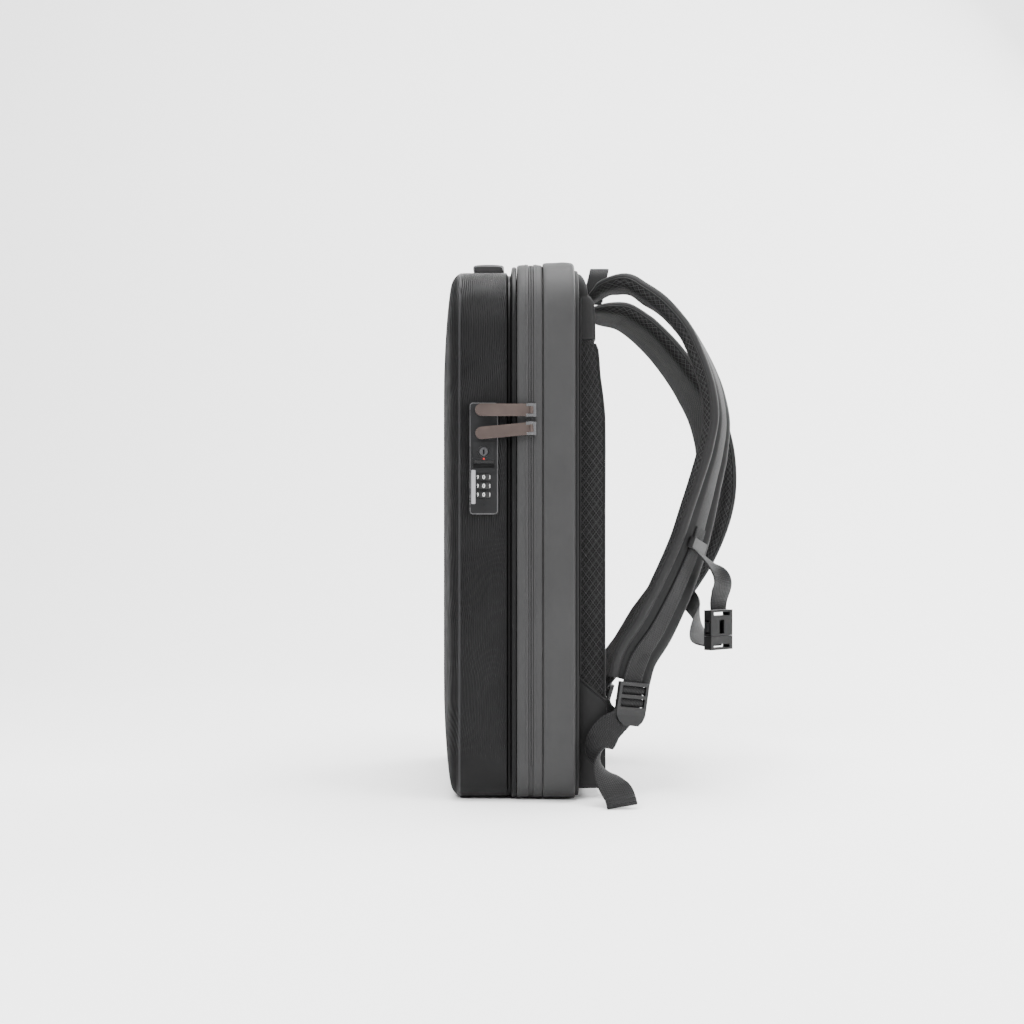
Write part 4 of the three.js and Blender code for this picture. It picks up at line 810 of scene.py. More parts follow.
def shell_plastic():
    """Textured plastic of the shell: engraved lines on its walls, smooth at its rim and foot; painted shade darkens the
    recess by the rim and a painted highlight lightens the dome's crease.
    """
    made, tree, shader, spot = start_finish("Shell plastic", 0.34, Specular_IOR_Level=0.11)
    lines = place_group(tree, contour_group(), Vector=spot, Pitch=sizes().contour_pitch, Warp=0.045)
    pebbles = place_group(tree, grain_group(), Vector=spot, Scale=1500.0)
    x, _, z = parts(tree, spot)
    engraved = calc(tree, "MULTIPLY", ramp(tree, x, SHELL_WALL_END * MM, (SHELL_WALL_END - 1.5) * MM),
                    ramp(tree, z, 0.028, 0.05))
    shade = colours().shell
    worn = place_group(tree, wear_group(), Colour=lighter(shade, 1), Rubbed=lighter(shade, 2.2),
                       Wear=0.35, Vector=spot, Scale=18.0)
    line = calc(tree, "MULTIPLY", calc(tree, "MULTIPLY", lines.outputs[1], engraved), 0.55)
    tinted = blend_colours(tree, line, worn.outputs[0], lighter(shade, 2.4))
    # Painted shade: the recess between the shell's wall and its rim is darkened in the colour
    recess = calc(tree, "MULTIPLY", ramp(tree, x, -0.0152, -0.0147), ramp(tree, x, -0.0102, -0.0107))
    # Painted highlight: a thin lighter line along the crease of the dome
    crease = calc(tree, "MULTIPLY", ramp(tree, x, -0.0548, -0.0542), ramp(tree, x, -0.0524, -0.053))
    crease_highlighted = blend_colours(tree, calc(tree, "MULTIPLY", crease, 0.8), tinted, lighter(shade, 6))
    tree.links.new(blend_colours(tree, recess, crease_highlighted, lighter(shade, 0.35)), shader.inputs["Base Color"])
    dome = ramp(tree, x, -0.0555, -0.057, 0.0, 0.4)
    coarse = calc(tree, "ADD", ramp(tree, pebbles.outputs[1], 0.3, 0.7, 0.36, 0.5), dome)
    tree.links.new(coarse, shader.inputs["Roughness"])
    height = calc(tree, "MULTIPLY_ADD", calc(tree, "MULTIPLY", lines.outputs[0], engraved), 1.0,
                  calc(tree, "MULTIPLY", pebbles.outputs[0], 0.18))
    raise_surface(tree, shader, height, 0.00034)
    return made


def cloth_spot(tree):
    node = tree.nodes.new("ShaderNodeUVMap")
    node.uv_map = UV_NAME
    return node.outputs[0]


def woven_cloth(name, shade, roughness, thread, distance, sheen, clouds=30.0):
    """Smooth woven cloth with fine threads, fine grain and slow fading."""
    found = bpy.data.materials.get(name)
    if found:
        return found
    made, tree, shader, spot = start_finish(name, roughness, Sheen_Weight=0.0, Sheen_Roughness=0.5,
                                             Specular_IOR_Level=0.12)
    weave = place_group(tree, weave_group(), Vector=cloth_spot(tree), Rib=thread, Pick=thread * 1.3)
    pebbles = place_group(tree, grain_group(), Vector=spot, Scale=800.0)
    worn = place_group(tree, wear_group(), Colour=lighter(shade, 1), Rubbed=lighter(shade, 1.7),
                       Wear=0.3, Vector=spot, Scale=clouds)
    shaded = blend_colours(tree, calc(tree, "MULTIPLY", weave.outputs[1], 0.3), worn.outputs[0], lighter(shade, 1.5))
    tree.links.new(shaded, shader.inputs["Base Color"])
    height = calc(tree, "ADD", weave.outputs[0], calc(tree, "MULTIPLY", pebbles.outputs[0], 0.5))
    raise_surface(tree, shader, height, distance)
    return made


def coated_cloth():
    return woven_cloth("Coated cloth", colours().coated, 0.5, 0.0009, 0.00008, 0.02, 22.0)


def smooth_cloth():
    return woven_cloth("Smooth cloth", colours().smooth, 0.58, 0.0008, 0.00008, 0.02)


def thread_finish():
    return plain_finish("Sewing thread", (0.017, 0.017, 0.0173), 0.6, 2500.0, 0.00003, rubbed=1.6)


def webbing_cloth():
    """Woven webbing with ribs and picks."""
    found = bpy.data.materials.get("Webbing")
    if found:
        return found
    made, tree, shader, spot = start_finish("Webbing", 0.65, Sheen_Weight=0.03, Sheen_Roughness=0.45,
                                             Specular_IOR_Level=0.12)
    weave = place_group(tree, weave_group(), Vector=cloth_spot(tree), Rib=0.0017, Pick=0.0021)
    shade = colours().webbing
    worn = place_group(tree, wear_group(), Colour=lighter(shade, 0.55), Rubbed=lighter(shade, 1.2),
                       Wear=0.5, Vector=spot, Scale=60.0)
    tree.links.new(blend_colours(tree, weave.outputs[1], worn.outputs[0], lighter(shade, 1.9)),
                   shader.inputs["Base Color"])
    fuzz = cloud(tree, spot, 2200.0, 2.0)
    raise_surface(tree, shader, calc(tree, "MULTIPLY_ADD", fuzz, 0.3, weave.outputs[0]), 0.00035)
    return made


def net_cloth(name, width, diamond, contrast):
    """Spacer mesh of the padding over dark foam, with larger diamonds knitted into it."""
    found = bpy.data.materials.get(name)
    if found:
        return found
    made, tree, shader, spot = start_finish(name, 0.75, Sheen_Weight=0.02, Sheen_Roughness=0.5,
                                             Specular_IOR_Level=0.1)
    net = place_group(tree, net_group(), Vector=cloth_spot(tree), Width=width, Length=width * 1.3)
    lines = place_group(tree, net_group(), Vector=cloth_spot(tree), Width=diamond, Length=diamond * 1.35,
                        Thin=0.09)
    shade = colours().net
    worn = place_group(tree, wear_group(), Colour=lighter(shade, 1), Rubbed=lighter(shade, 1.8),
                       Wear=0.4, Vector=spot, Scale=35.0)
    knit = blend_colours(tree, net.outputs[1], lighter(shade, 0.15), worn.outputs[0])
    raised = calc(tree, "MULTIPLY", lines.outputs[1], contrast)
    tree.links.new(blend_colours(tree, raised, knit, lighter(shade, 3.2)), shader.inputs["Base Color"])
    fuzz = cloud(tree, spot, 2600.0, 2.0)
    height = calc(tree, "ADD", calc(tree, "MULTIPLY_ADD", fuzz, 0.25, net.outputs[0]), lines.outputs[0])
    raise_surface(tree, shader, height, 0.00045)
    return made


def pad_net():
    return net_cloth("Padding net", sizes().net_width, sizes().diamond_width, 0.55)


def strap_net():
    return net_cloth("Strap net", sizes().net_width, sizes().net_width * 1.7, 0.75)


def flat_finish(name, shade, roughness):
    """Printed or painted small mark."""
    return plain_finish(name, shade, roughness, 1500.0, 0.00001, wear=0.1, rubbed=1.2)


# Operators

class BACKPACK_OT_stage(bpy.types.Operator):
    """Pale floor and backdrop, soft lights and the camera at the photo's angle"""
    bl_idname = "backpack.stage"
    bl_label = "Stage"

    def execute(self, context):
        sweep = [(-4, 0), (0.9, 0)]
        sweep += [(0.9 + 0.8 * math.sin(a), 0.8 - 0.8 * math.cos(a)) for a in np.radians(range(6, 91, 6))]
        sweep += [(1.7, 4)]
        points = [(x * 1000, y * 1000, z * 1000) for y, z in sweep for x in (-5, 5)]
        faces = [(2 * i, 2 * i + 1, 2 * i + 3, 2 * i + 2) for i in range(len(sweep) - 1)]
        floor = make_piece("floor", points, faces)
        made, tree, shader, spot = start_finish("Pale floor", 0.7)
        shade = colours().floor
        tree.links.new(blend_colours(tree, cloud(tree, spot, 3.0), lighter(shade, 0.99), lighter(shade, 1.01)),
                       shader.inputs["Base Color"])
        floor.data.materials.append(made)
        world = bpy.data.worlds.new("Studio")
        context.scene.world = world
        world.use_nodes = True
        world.node_tree.nodes["Background"].inputs[0].default_value = (1, 1, 1, 1)
        sky = world.node_tree
        x, _, _ = parts(sky, sky.nodes.new("ShaderNodeTexCoord").outputs["Generated"])
        sky.links.new(ramp(sky, x, -1.0, 0.3, 0.1, 0.75), sky.nodes["Background"].inputs[1])
        lights = (
            ("key", (-0.9, -2.0, 1.9), 1.2, 95),
            ("fill", (1.8, -1.4, 1.1), 1.1, 50),
            ("overhead", (0.1, -0.1, 2.0), 1.5, 110),
            ("rear", (1.3, 1.1, 1.3), 1.0, 40),
        )
        for name, place, size, watts in lights:
            lamp = bpy.data.lights.new(name, "AREA")
            lamp.size = size
            lamp.energy = watts
            holder = bpy.data.objects.new(name, lamp)
            holder.location = place
            aim = Vector((0.02, 0, 0.22)) - Vector(place)
            holder.rotation_euler = aim.to_track_quat("-Z", "Y").to_euler()
            context.scene.collection.objects.link(holder)
        lens = bpy.data.cameras.new("camera")
        lens.sensor_width = 36
        lens.lens = 62.1
        camera = bpy.data.objects.new("camera", lens)
        camera.location = (-0.0102, -1.6, 0.2394)
        camera.rotation_euler = (math.radians(90), 0, 0)
        context.scene.collection.objects.link(camera)
        context.scene.camera = camera
        return {"FINISHED"}


DOME_RISE = ((0, 0), (0.013, 0.2), (0.045, 0.42), (0.11, 0.56), (0.27, 0.74), (0.5, 0.9), (0.78, 1.0))


def shell_ring(x, drop, inset, wall=0.0):
    shrink = min(inset * 0.4, TOP_RADIUS * 0.7) + wall
    return outline(x, drop + inset + wall, drop * SIDE_SHARE + inset + wall, inset + wall, shrink)


class BACKPACK_OT_hard_shell(bpy.types.Operator):
    """Domed hard shell with its rim, its recess and its engraved walls"""
    bl_idname = "backpack.hard_shell"
    bl_label = "Hard shell"

    def execute(self, context):
        insets = [0.0, 0.003, 0.007, 0.013, 0.02, 0.03, 0.045, 0.06, 0.08, 0.11, 0.15, 0.2, 0.27, 0.36, 0.5, 0.64, 0.78]
        dome = [shell_ring(CREASE_X - smoothed(DOME_RISE, s) * SHELL_BULGE, SHELL_DROP, s * HALF_WIDTH) for s in insets]
        inner = [shell_ring(CREASE_X - smoothed(DOME_RISE, s) * SHELL_BULGE + SHELL_WALL, SHELL_DROP,
                            s * HALF_WIDTH, SHELL_WALL) for s in insets[::4]]
        rim_back = SHELL_RIM_X - RIM_DEPTH
        profile = [
            (SHELL_RIM_X, RECESS_DROP), (SHELL_RIM_X, RIM_DROP + 1.2), (SHELL_RIM_X - 0.25, RIM_DROP + 0.5),
            (SHELL_RIM_X - 0.8, RIM_DROP), (SHELL_RIM_X - 2.0, RIM_DROP - 0.1), (rim_back + 0.8, RIM_DROP),
            (rim_back + 0.25, RIM_DROP + 0.5), (rim_back, RIM_DROP + 1.3), (rim_back - 0.9, RECESS_DROP - 0.6),
            (rim_back - 1.4, RECESS_DROP), (SHELL_WALL_END + 1.4, RECESS_DROP),
            (SHELL_WALL_END + 0.6, SHELL_DROP + 1.4), (SHELL_WALL_END + 0.2, SHELL_DROP + 0.4),
            (SHELL_WALL_END - 0.5, SHELL_DROP), (SHELL_WALL_END - 12, SHELL_DROP),
            (SHELL_WALL_END - 24, SHELL_DROP), (CREASE_X + 1.6, SHELL_DROP), (CREASE_X + 0.9, SHELL_DROP + 0.35),
        ]
        rings = inner[::-1] + [shell_ring(x, drop, 0) for x, drop in profile] + dome
        for ring in rings:
            ring[:, 2] = np.maximum(ring[:, 2], 0.0)
        shell = loft("Hard_shell", rings, sharp=32)
        dress(shell, "bag", shell_plastic(), "shell", "hard_shell")
        return {"FINISHED"}


class BACKPACK_OT_lock(bpy.types.Operator):
    """Combination lock: plate, key cylinder, release bar, numbered dials and reset hole"""
    bl_idname = "backpack.lock"
    bl_label = "Lock"

    def execute(self, context):
        dress_node("lock_body", lock_plastic(), 0.0006, 3)
        dress_node("key_plug", key_metal(), 0.0002)
        dress_node("release_slider", fitting_plastic(), 0.0003)
        dress_node("dial_axle", chrome_metal())
        for number in (1, 2, 3):
            dress_node(f"dial_{number}", fitting_plastic(), 0.0004)
        rings = []
        for radius, y in ((KEY_RADIUS + 0.45, 0.25), (KEY_RADIUS + 0.5, -0.25), (KEY_RADIUS + 0.8, -0.55),
                          (KEY_RADIUS + 1.2, -0.45), (KEY_RADIUS + 1.35, 0.05), (KEY_RADIUS + 1.3, 0.25)):
            rings.append([(LOCK_X + radius * math.cos(a), BLOCK_FACE_Y + y - 0.02, KEY_Z + radius * math.sin(a))
                          for a in np.linspace(0, 2 * math.pi, 40, endpoint=False)])
        bezel = loft("Key_bezel", rings, joined=True)
        dress(bezel, "bag", lock_plastic(), "lock")
        dot = rod("Key_mark", [(LOCK_X, BLOCK_FACE_Y + 0.1, KEY_Z - 5.9), (LOCK_X, BLOCK_FACE_Y - 0.15, KEY_Z - 5.9)],
                  0.75, 16)
        dress(dot, "bag", flat_finish("Red mark", (0.45, 0.02, 0.015), 0.4), "lock")
        strip = soft_block("Index_strip", (LOCK_X - 10.3, LOCK_FACE_Y - 0.45, 246.0), (LOCK_X - 6.8, LOCK_FACE_Y + 0.1, 274.0), 0.4)
        dress(strip, "bag", flat_finish("Index strip", (0.2, 0.2, 0.21), 0.45), "lock")
        # Painted highlight: a lighter rim round the edge of the lock's plate
        edge = [rounded((LOCK_X, LOCK_FACE_Y - y, LOCK_CENTRE_Z), (11.7 - inset, 46.0 - inset), 3.0 - inset)
                for inset, y in ((0.1, 0.0), (0.1, 0.12), (0.45, 0.2), (0.8, 0.12), (0.8, 0.0))]
        dress(loft("Plate_edge_highlight", edge, joined=True), "bag",
              plain_finish("Plate edge highlight", (0.07, 0.07, 0.072), 0.3, 1500.0, 0.00001, metallic=0.6), "lock")
        for index, (z, body) in enumerate(zip(DIAL_Z, DIAL_BODIES)):
            digits = dial_digits(f"Dial_digits_{index + 1}", z)
            dress(digits, body, flat_finish("Dial white", (0.6, 0.6, 0.6), 0.5), "black_plastic")
        return {"FINISHED"}


def rounded(middle, half, radius, steps=6):
    """Rounded rectangle that faces -Y about a middle point."""
    x, y, z = middle
    ring = []
    for sx, sz, start in ((1, 1, 0), (-1, 1, 90), (-1, -1, 180), (1, -1, 270)):
        for angle in np.radians(start + np.linspace(0, 90, steps + 1)):
            ring.append((x + sx * (half[0] - radius) + radius * math.cos(angle), y,
                         z + sz * (half[1] - radius) + radius * math.sin(angle)))
    return ring


def soft_block(name, low, high, radius):
    """Block that faces -Y with round corners and a softened front edge."""
    low, high = np.asarray(low, float), np.asarray(high, float)
    middle, half = (low + high) / 2, (high - low) / 2
    rings = []
    for y, shrink in ((high[1], 0), (low[1] + radius, 0), (low[1] + radius * 0.3, radius * 0.3), (low[1], radius)):
        rings.append(rounded((middle[0], y, middle[2]), (half[0] - shrink, half[2] - shrink), radius + 0.3))
    return loft(name, rings)


def dial_digits(name, z):
    """Ten numbers round a dial, wrapped on its rim, with the first at the front."""
    points, faces = [], []
    for number in range(10):
        text = bpy.data.curves.new(f"{name}_{number}", "FONT")
        text.body = str(number)
        text.size = 4.6
        text.align_x = "CENTER"
        text.align_y = "CENTER"
        text.resolution_u = 3
        holder = bpy.data.objects.new(text.name, text)
        bpy.context.scene.collection.objects.link(holder)
        bpy.context.view_layer.update()
        mesh = bpy.data.meshes.new_from_object(holder.evaluated_get(bpy.context.evaluated_depsgraph_get()))
        base = len(points)
        for vertex in mesh.vertices:
            angle = math.radians(36 * number) + vertex.co.x / DIAL_RADIUS
            radius = DIAL_RADIUS + 0.06
            points.append((LOCK_X + radius * math.sin(angle), DIAL_Y - radius * math.cos(angle), z + vertex.co.y))
        faces += [tuple(base + i for i in polygon.vertices) for polygon in mesh.polygons]
        bpy.data.objects.remove(holder)
        bpy.data.meshes.remove(mesh)
        bpy.data.curves.remove(text)
    return make_piece(name, points, faces)


class BACKPACK_OT_carry_handle(bpy.types.Operator):
    """Low crowned handle on the shell's top, with its two mounts"""
    bl_idname = "backpack.carry_handle"
    bl_label = "Carry handle"

    def execute(self, context):
        lifts = ((-1, 0), (-0.8, 0.25), (-0.5, 1), (0.5, 1), (0.8, 0.25), (1, 0))
        rings = []
        for along in np.linspace(-1, 1, 61):
            z = HANDLE_SEAT + max(0.0, smoothed(lifts, along)) * HANDLE_LIFT
            end = max(0.0, (abs(along) - 0.93) / 0.07)
            half = HANDLE_WIDTH / 2 * (1 - 0.1 * end ** 2)
            thick = HANDLE_THICK * (1 - 0.35 * end ** 2)
            section = (
                (-1, 0.35), (-0.97, 0.12), (-0.88, 0), (0, 0), (0.88, 0), (0.97, 0.12), (1, 0.35),
                (1, 0.6), (0.97, 0.78), (0.87, 0.9), (0.6, 0.97), (0.25, 1), (0, 1), (-0.25, 1), (-0.6, 0.97),
                (-0.87, 0.9), (-0.97, 0.78), (-1, 0.6))
            rings.append([(HANDLE_X + a * half, along * HANDLE_LENGTH / 2, z + up * thick) for a, up in section])
        grip = loft("Carry_handle", rings, sharp=50)
        dress(grip, "bag", handle_rubber(), "black_plastic", "carry_handle")
        for name in ("handle_mount_near", "handle_mount_far"):
            dress_node(name, fitting_plastic(), sizes().edge_round)
        return {"FINISHED"}


def zip_rows():
    half = ZIP_GROOVE / 2
    groove = lambda place: (ZIP_X + place - BAND_START) / FRONT_BAND_DEPTH
    return (
        (0, -BAND_TUCK), (0.02, -0.5), (0.07, 0), (0.2, 0.35), (0.32, 0.5), (groove(-half - 1.2), BAND_CROWN),
        (groove(-half - 0.4), BAND_CROWN - 0.05), (groove(-half - 0.05), BAND_CROWN - 0.4),
        (groove(-half + 0.1), -ZIP_DEEP + 0.5), (groove(-half + 0.4), -ZIP_DEEP), (groove(0), -ZIP_DEEP),
        (groove(half - 0.4), -ZIP_DEEP), (groove(half - 0.1), -ZIP_DEEP + 0.5),
        (groove(half + 0.05), BAND_CROWN - 0.4), (groove(half + 0.4), BAND_CROWN - 0.05),
        (groove(half + 1.2), BAND_CROWN), (0.8, 0.4), (0.93, 0), (0.98, -0.5), (1, -BAND_TUCK),
    )


def arch(x, lift):
    """Row of points of the front band's outline over the top, from foot to foot, with outward directions."""
    ring = outline(x, FRONT_BAND_DROP - lift, (FRONT_BAND_DROP - lift) * SIDE_SHARE, 0)
    normal = outward(ring)
    start = CORNER_STEPS
    end = start + 3 * RUN_STEPS + 2 * CORNER_STEPS + 1
    return ring[start:end], normal[start:end]


class BACKPACK_OT_front_band(bpy.types.Operator):
    """Front fabric band with the zip's groove and its seams"""
    bl_idname = "backpack.front_band"
    bl_label = "Front band"

    def execute(self, context):
        wrinkle = sizes().wrinkle_depth / MM * 0.35
        cover = band("Front_band", BAND_START, FRONT_BAND_DEPTH, FRONT_BAND_DROP, FRONT_BAND_WALL, zip_rows(), wrinkle)
        dress(cover, "bag", coated_cloth(), "coated_cloth", "front_band")
        length = sizes().stitch_length / MM
        for index, x in enumerate((ZIP_X - 4.3, ZIP_X + 4.3)):
            points, normals = arch(x, BAND_CROWN - 0.1)
            places, ways, ups = evenly(points + normals * 0.1, normals, length * 1.35, 4)
            seam = capsules(f"Zip_seam_{index + 1}", places, ways, ups, length, 0.32)
            dress(seam, "bag", thread_finish(), "coated_cloth")
        return {"FINISHED"}


class BACKPACK_OT_zip(bpy.types.Operator):
    """Zip tape, coil, sliders and pulls"""
    bl_idname = "backpack.zip"
    bl_label = "Zip"

    def execute(self, context):
        lift = SEAT_GAP - ZIP_DEEP
        rings = []
        points, normals = arch(ZIP_X, lift)
        for across, high in ((-1.75, 0), (-1.75, 1.45), (-0.4, 1.6), (-0.22, 0.8), (0.22, 0.8), (0.4, 1.6), (1.75, 1.45), (1.75, 0)):
            rings.append(points + normals * high + np.array([across, 0, 0]))
        tape = loft("Zip_tape", np.stack(rings, 1))
        dress(tape, "bag", woven_cloth("Zip tape", (0.021, 0.021, 0.0213), 0.55, 0.0006, 0.00008, 0.02), "black_plastic", "zipper")
        pitch = sizes().coil_pitch / MM
        places, ways, ups = evenly(points + normals * 1.15, normals, pitch, 2)
        cross = np.tile(np.array([1.0, 0.0, 0.0]), (len(places), 1)) + 0.12 * ways
        coil = capsules("Zip_coil", places, cross, ups, 0.85, 0.4, 0.9)
        dress(coil, "bag", plain_finish("Zip coil", (0.006, 0.006, 0.0062), 0.4, 2000.0, 0.00002), "black_plastic")
        for name in ("zip_slider_upper", "zip_slider_lower"):
            dress_node(name, chrome_metal(), 0.0004, 3)
        for name in ("zip_pull_upper", "zip_pull_lower"):
            dress_node(name, pull_metal(), 0.0005, 3)
        return {"FINISHED"}


class BACKPACK_OT_rear_band(bpy.types.Operator):
    """Rear fabric band with soft folds"""
    bl_idname = "backpack.rear_band"
    bl_label = "Rear band"

    def execute(self, context):
        rows = ((0, -BAND_TUCK), (0.015, -0.5), (0.06, 0), (0.14, 0.3), (0.24, 0.5), (0.35, 0.58), (0.45, 0.6),
                (0.55, 0.6), (0.65, 0.55), (0.75, 0.45), (0.84, 0.25), (0.92, 0), (0.965, -0.7), (0.99, -1.6),
                (1, -REAR_BAND_TUCK))
        cover = band("Rear_band", REAR_BAND_START, REAR_BAND_DEPTH, 0, REAR_BAND_WALL, rows, sizes().wrinkle_depth / MM)
        dress(cover, "bag", coated_cloth(), "coated_cloth", "rear_band")
        return {"FINISHED"}


# Faces of the back's pads: share of the pad's height, share of the pad's thickness
PAD_ROWS = ((0, 0.7), (0.02, 0.92), (0.06, 1), (0.3, 1), (0.6, 1), (0.82, 1), (0.87, 0.93), (0.92, 0.82), (0.96, 0.77),
            (0.985, 0.7), (1, 0.5))
PAD_TOP_ROWS = ((0, 0.64), (0.5, 0.62), (0.88, 0.56), (1, 0.42))
YOKE_ROWS = ((0, 0.381), (0.35, 0.37), (0.7, 0.267), (0.92, 0.133), (1, 0.046))


def pad_piece(name, foot, top, width, rows, steps, narrow=()):
    """Stuffed pad whose face follows its rows, with round edges."""
    rings = []
    for up in np.linspace(0, 1, steps + 1):
        face = max(0.04, smoothed(rows, up)) * (PAD_FACE - PAD_START)
        half = width / 2 - (smoothed(narrow, up) if narrow else 0)
        edge = min(4.0, face * 0.45)
        section = [(0, -1.0), (face * 0.4, -1.0)]
        for angle in np.radians((0, 22, 45, 68, 90)):
            section.append((face - edge + edge * math.sin(angle), -1.0 + edge * (1 - math.cos(angle)) / half))
        section += [(face, share) for share in np.linspace(-0.94, 0.94, 41)]
        for angle in np.radians((90, 68, 45, 22, 0)):
            section.append((face - edge + edge * math.sin(angle), 1.0 - edge * (1 - math.cos(angle)) / half))
        section += [(face * 0.4, 1.0), (0, 1.0)]
        z = foot + up * (top - foot)
        rings.append([(PAD_START + out, share * half, z) for out, share in section])
    return loft(name, rings, sharp=50)


class BACKPACK_OT_back(bpy.types.Operator):
    """Back of the bag: lined board, yoke, smooth block, mesh pad and their pipings"""
    bl_idname = "backpack.back"
    bl_label = "Back"

    def execute(self, context):
        rings = []
        for x, inset in ((0, 0.0), (0.6, 0), (1.6, 0), (2.4, 0.3), (2.8, 0.7), (3.0, 1.4)):
            size = BOARD_INSET + inset
            rings.append(outline(BOARD_START + x, size, size, size * 0.3, size * 0.5))
        board = loft("Back_panel", rings)
        dress(board, "bag", smooth_cloth(), "smooth_cloth", "back_panel")
        pad = pad_piece("Back_pad", PAD_FOOT, PAD_TOP_FOOT - SEAT_GAP, PAD_WIDTH, PAD_ROWS, 70)
        dress(pad, "bag", pad_net(), "pad_mesh", "back_pad")
        top = pad_piece("Back_pad_top", PAD_TOP_FOOT, PAD_TOP, PAD_WIDTH, PAD_TOP_ROWS, 18)
        dress(top, "bag", smooth_cloth(), "smooth_cloth", "back_pad_top")
        yoke = pad_piece("Back_yoke", PAD_TOP + SEAT_GAP, YOKE_TOP, YOKE_WIDTH, YOKE_ROWS, 16,
                         ((0, 0), (0.35, 0.8), (0.7, 4), (0.92, 9.6), (1, 16)))
        dress(yoke, "bag", smooth_cloth(), "smooth_cloth", "back_yoke")
        for name, sign, *_ in sides():
            y = sign * (PAD_WIDTH / 2 - 0.9)
            face = [(PAD_START + smoothed(PAD_ROWS, up) * (PAD_FACE - PAD_START) - 1.0, y,
                     PAD_FOOT + up * (PAD_TOP_FOOT - PAD_FOOT)) for up in np.linspace(0.2, 0.99, 60)]
            bead = rod(f"Pad_piping_{name}", face, 1.1)
            dress(bead, "bag", smooth_cloth(), "smooth_cloth")
            base = [(PAD_START + 1.2, sign * (PAD_WIDTH / 2 + 0.1), z) for z in np.linspace(104, 418, 50)]
            dress(rod(f"Pad_seam_{name}", base, 0.9), "bag", smooth_cloth(), "smooth_cloth")
        seam = [(PAD_START + 0.42 * 22.3 - 0.6 + 1.2 * math.cos(s * math.pi / 2) ** 0.3, s * 121, PAD_TOP + 0.1)
                for s in np.linspace(-1, 1, 41)]
        dress(rod("Yoke_piping", seam, 0.9), "bag", smooth_cloth(), "smooth_cloth")
        return {"FINISHED"}


class BACKPACK_OT_wings(bpy.types.Operator):
    """Fabric corners at the foot of the back, with a piping along each slanted edge"""
    bl_idname = "backpack.wings"
    bl_label = "Wings"

    def execute(self, context):
        for name, sign, *_ in sides():
            inside = sign * (PAD_WIDTH / 2 + SEAT_GAP)
            rings = []
            for up in np.linspace(0, 1, 21):
                ring = []
                for across in np.linspace(0, 1, 9):
                    z = PAD_FOOT + up * (WING_HEIGHT - WING_SLANT * across)
                    soft = math.sin(math.pi * up) ** 0.5 * math.sin(math.pi * across) ** 0.5
                    puff = noise.noise(Vector((up * 4, across * 2, sign))) * 0.5
                    out = WING_THICK * (0.45 + 0.45 * soft + 0.1 * puff)
                    ring.append((PAD_START + across * (PAD_FACE - PAD_START), inside + sign * out, z))
                for across in np.linspace(1, 0, 9):
                    z = PAD_FOOT + up * (WING_HEIGHT - WING_SLANT * across)
                    ring.append((PAD_START + across * (PAD_FACE - PAD_START), inside, z))
                rings.append(ring)
            wing = loft(f"Wing_{name}", rings, sharp=60)
            dress(wing, "bag", smooth_cloth(), "smooth_cloth", f"wing_{name}")
            slant = [(PAD_START + a * (PAD_FACE - PAD_START), inside + sign * 1.2, PAD_FOOT + WING_HEIGHT - WING_SLANT * a)
                     for a in np.linspace(0, 1, 20)]
            dress(rod(f"Wing_piping_{name}", slant, 1.1), "bag", smooth_cloth(), "smooth_cloth")
        return {"FINISHED"}


LOOP_ROWS = ((-0.9, 0, 0), (-1, 0.45, 0.33), (-0.8, 0.84, 0.83), (0, 1, 1), (0.8, 0.84, 0.83), (1, 0.45, 0.33), (0.9, 0, 0))


class BACKPACK_OT_hang_loop(bpy.types.Operator):
    """Loop of webbing over the yoke"""
    bl_idname = "backpack.hang_loop"
    bl_label = "Hang loop"

    def execute(self, context):
        points = np.array([(STRAP_START + lean * LOOP_LEAN, across * LOOP_SPREAD / 2, LOOP_FOOT + up * LOOP_HEIGHT)
                           for across, up, lean in LOOP_ROWS])
        path = []
        for share in np.linspace(0, 1, 49):
            place = three_curve(points, share)
            heading = three_curve(points, min(share + 1e-4, 1)) - three_curve(points, max(share - 1e-4, 0))
            heading[0] = 0
            heading = unit(heading)
            path.append({"place": place + np.array([LOOP_WIDTH / 2, 0, 0]), "heading": heading,
                         "side": np.array([1.0, 0, 0]), "face": np.array([0, -heading[2], heading[1]])})
        loop = ribbon("Hang_loop", path, LOOP_WIDTH)
        dress(loop, "bag", webbing_cloth(), "webbing", "hang_loop")
        return {"FINISHED"}


# Sections of a shoulder strap: its mesh underside, and its smooth outer face with rolled edges
STRAP_UNDER = (
    (0.985, 0.2), (1, 0.0), (0.99, -0.35), (0.95, -0.68), (0.88, -0.88), (0.78, -0.97), (0.6, -1), (0.4, -1), (0.2, -1),
    (0, -1), (-0.2, -1), (-0.4, -1), (-0.6, -1), (-0.78, -0.97), (-0.88, -0.88), (-0.95, -0.68), (-0.99, -0.35),
    (-1, 0.0), (-0.985, 0.2), (-0.8, 0.15), (0, 0.1), (0.8, 0.15))
STRAP_OUTER = (
    (-0.975, 0.22), (-0.99, 0.4), (-0.98, 0.62), (-0.945, 0.84), (-0.89, 0.97), (-0.82, 1), (-0.74, 0.95), (-0.67, 0.78),
    (-0.61, 0.52), (-0.55, 0.38), (-0.49, 0.42), (-0.43, 0.68), (-0.38, 0.9), (-0.3, 1), (0, 1), (0.3, 1), (0.38, 0.9),
    (0.43, 0.68), (0.49, 0.42), (0.55, 0.38), (0.61, 0.52), (0.67, 0.78), (0.74, 0.95), (0.82, 1), (0.89, 0.97),
    (0.945, 0.84), (0.98, 0.62), (0.99, 0.4), (0.975, 0.22), (0.8, 0.17), (0, 0.12), (-0.8, 0.17))


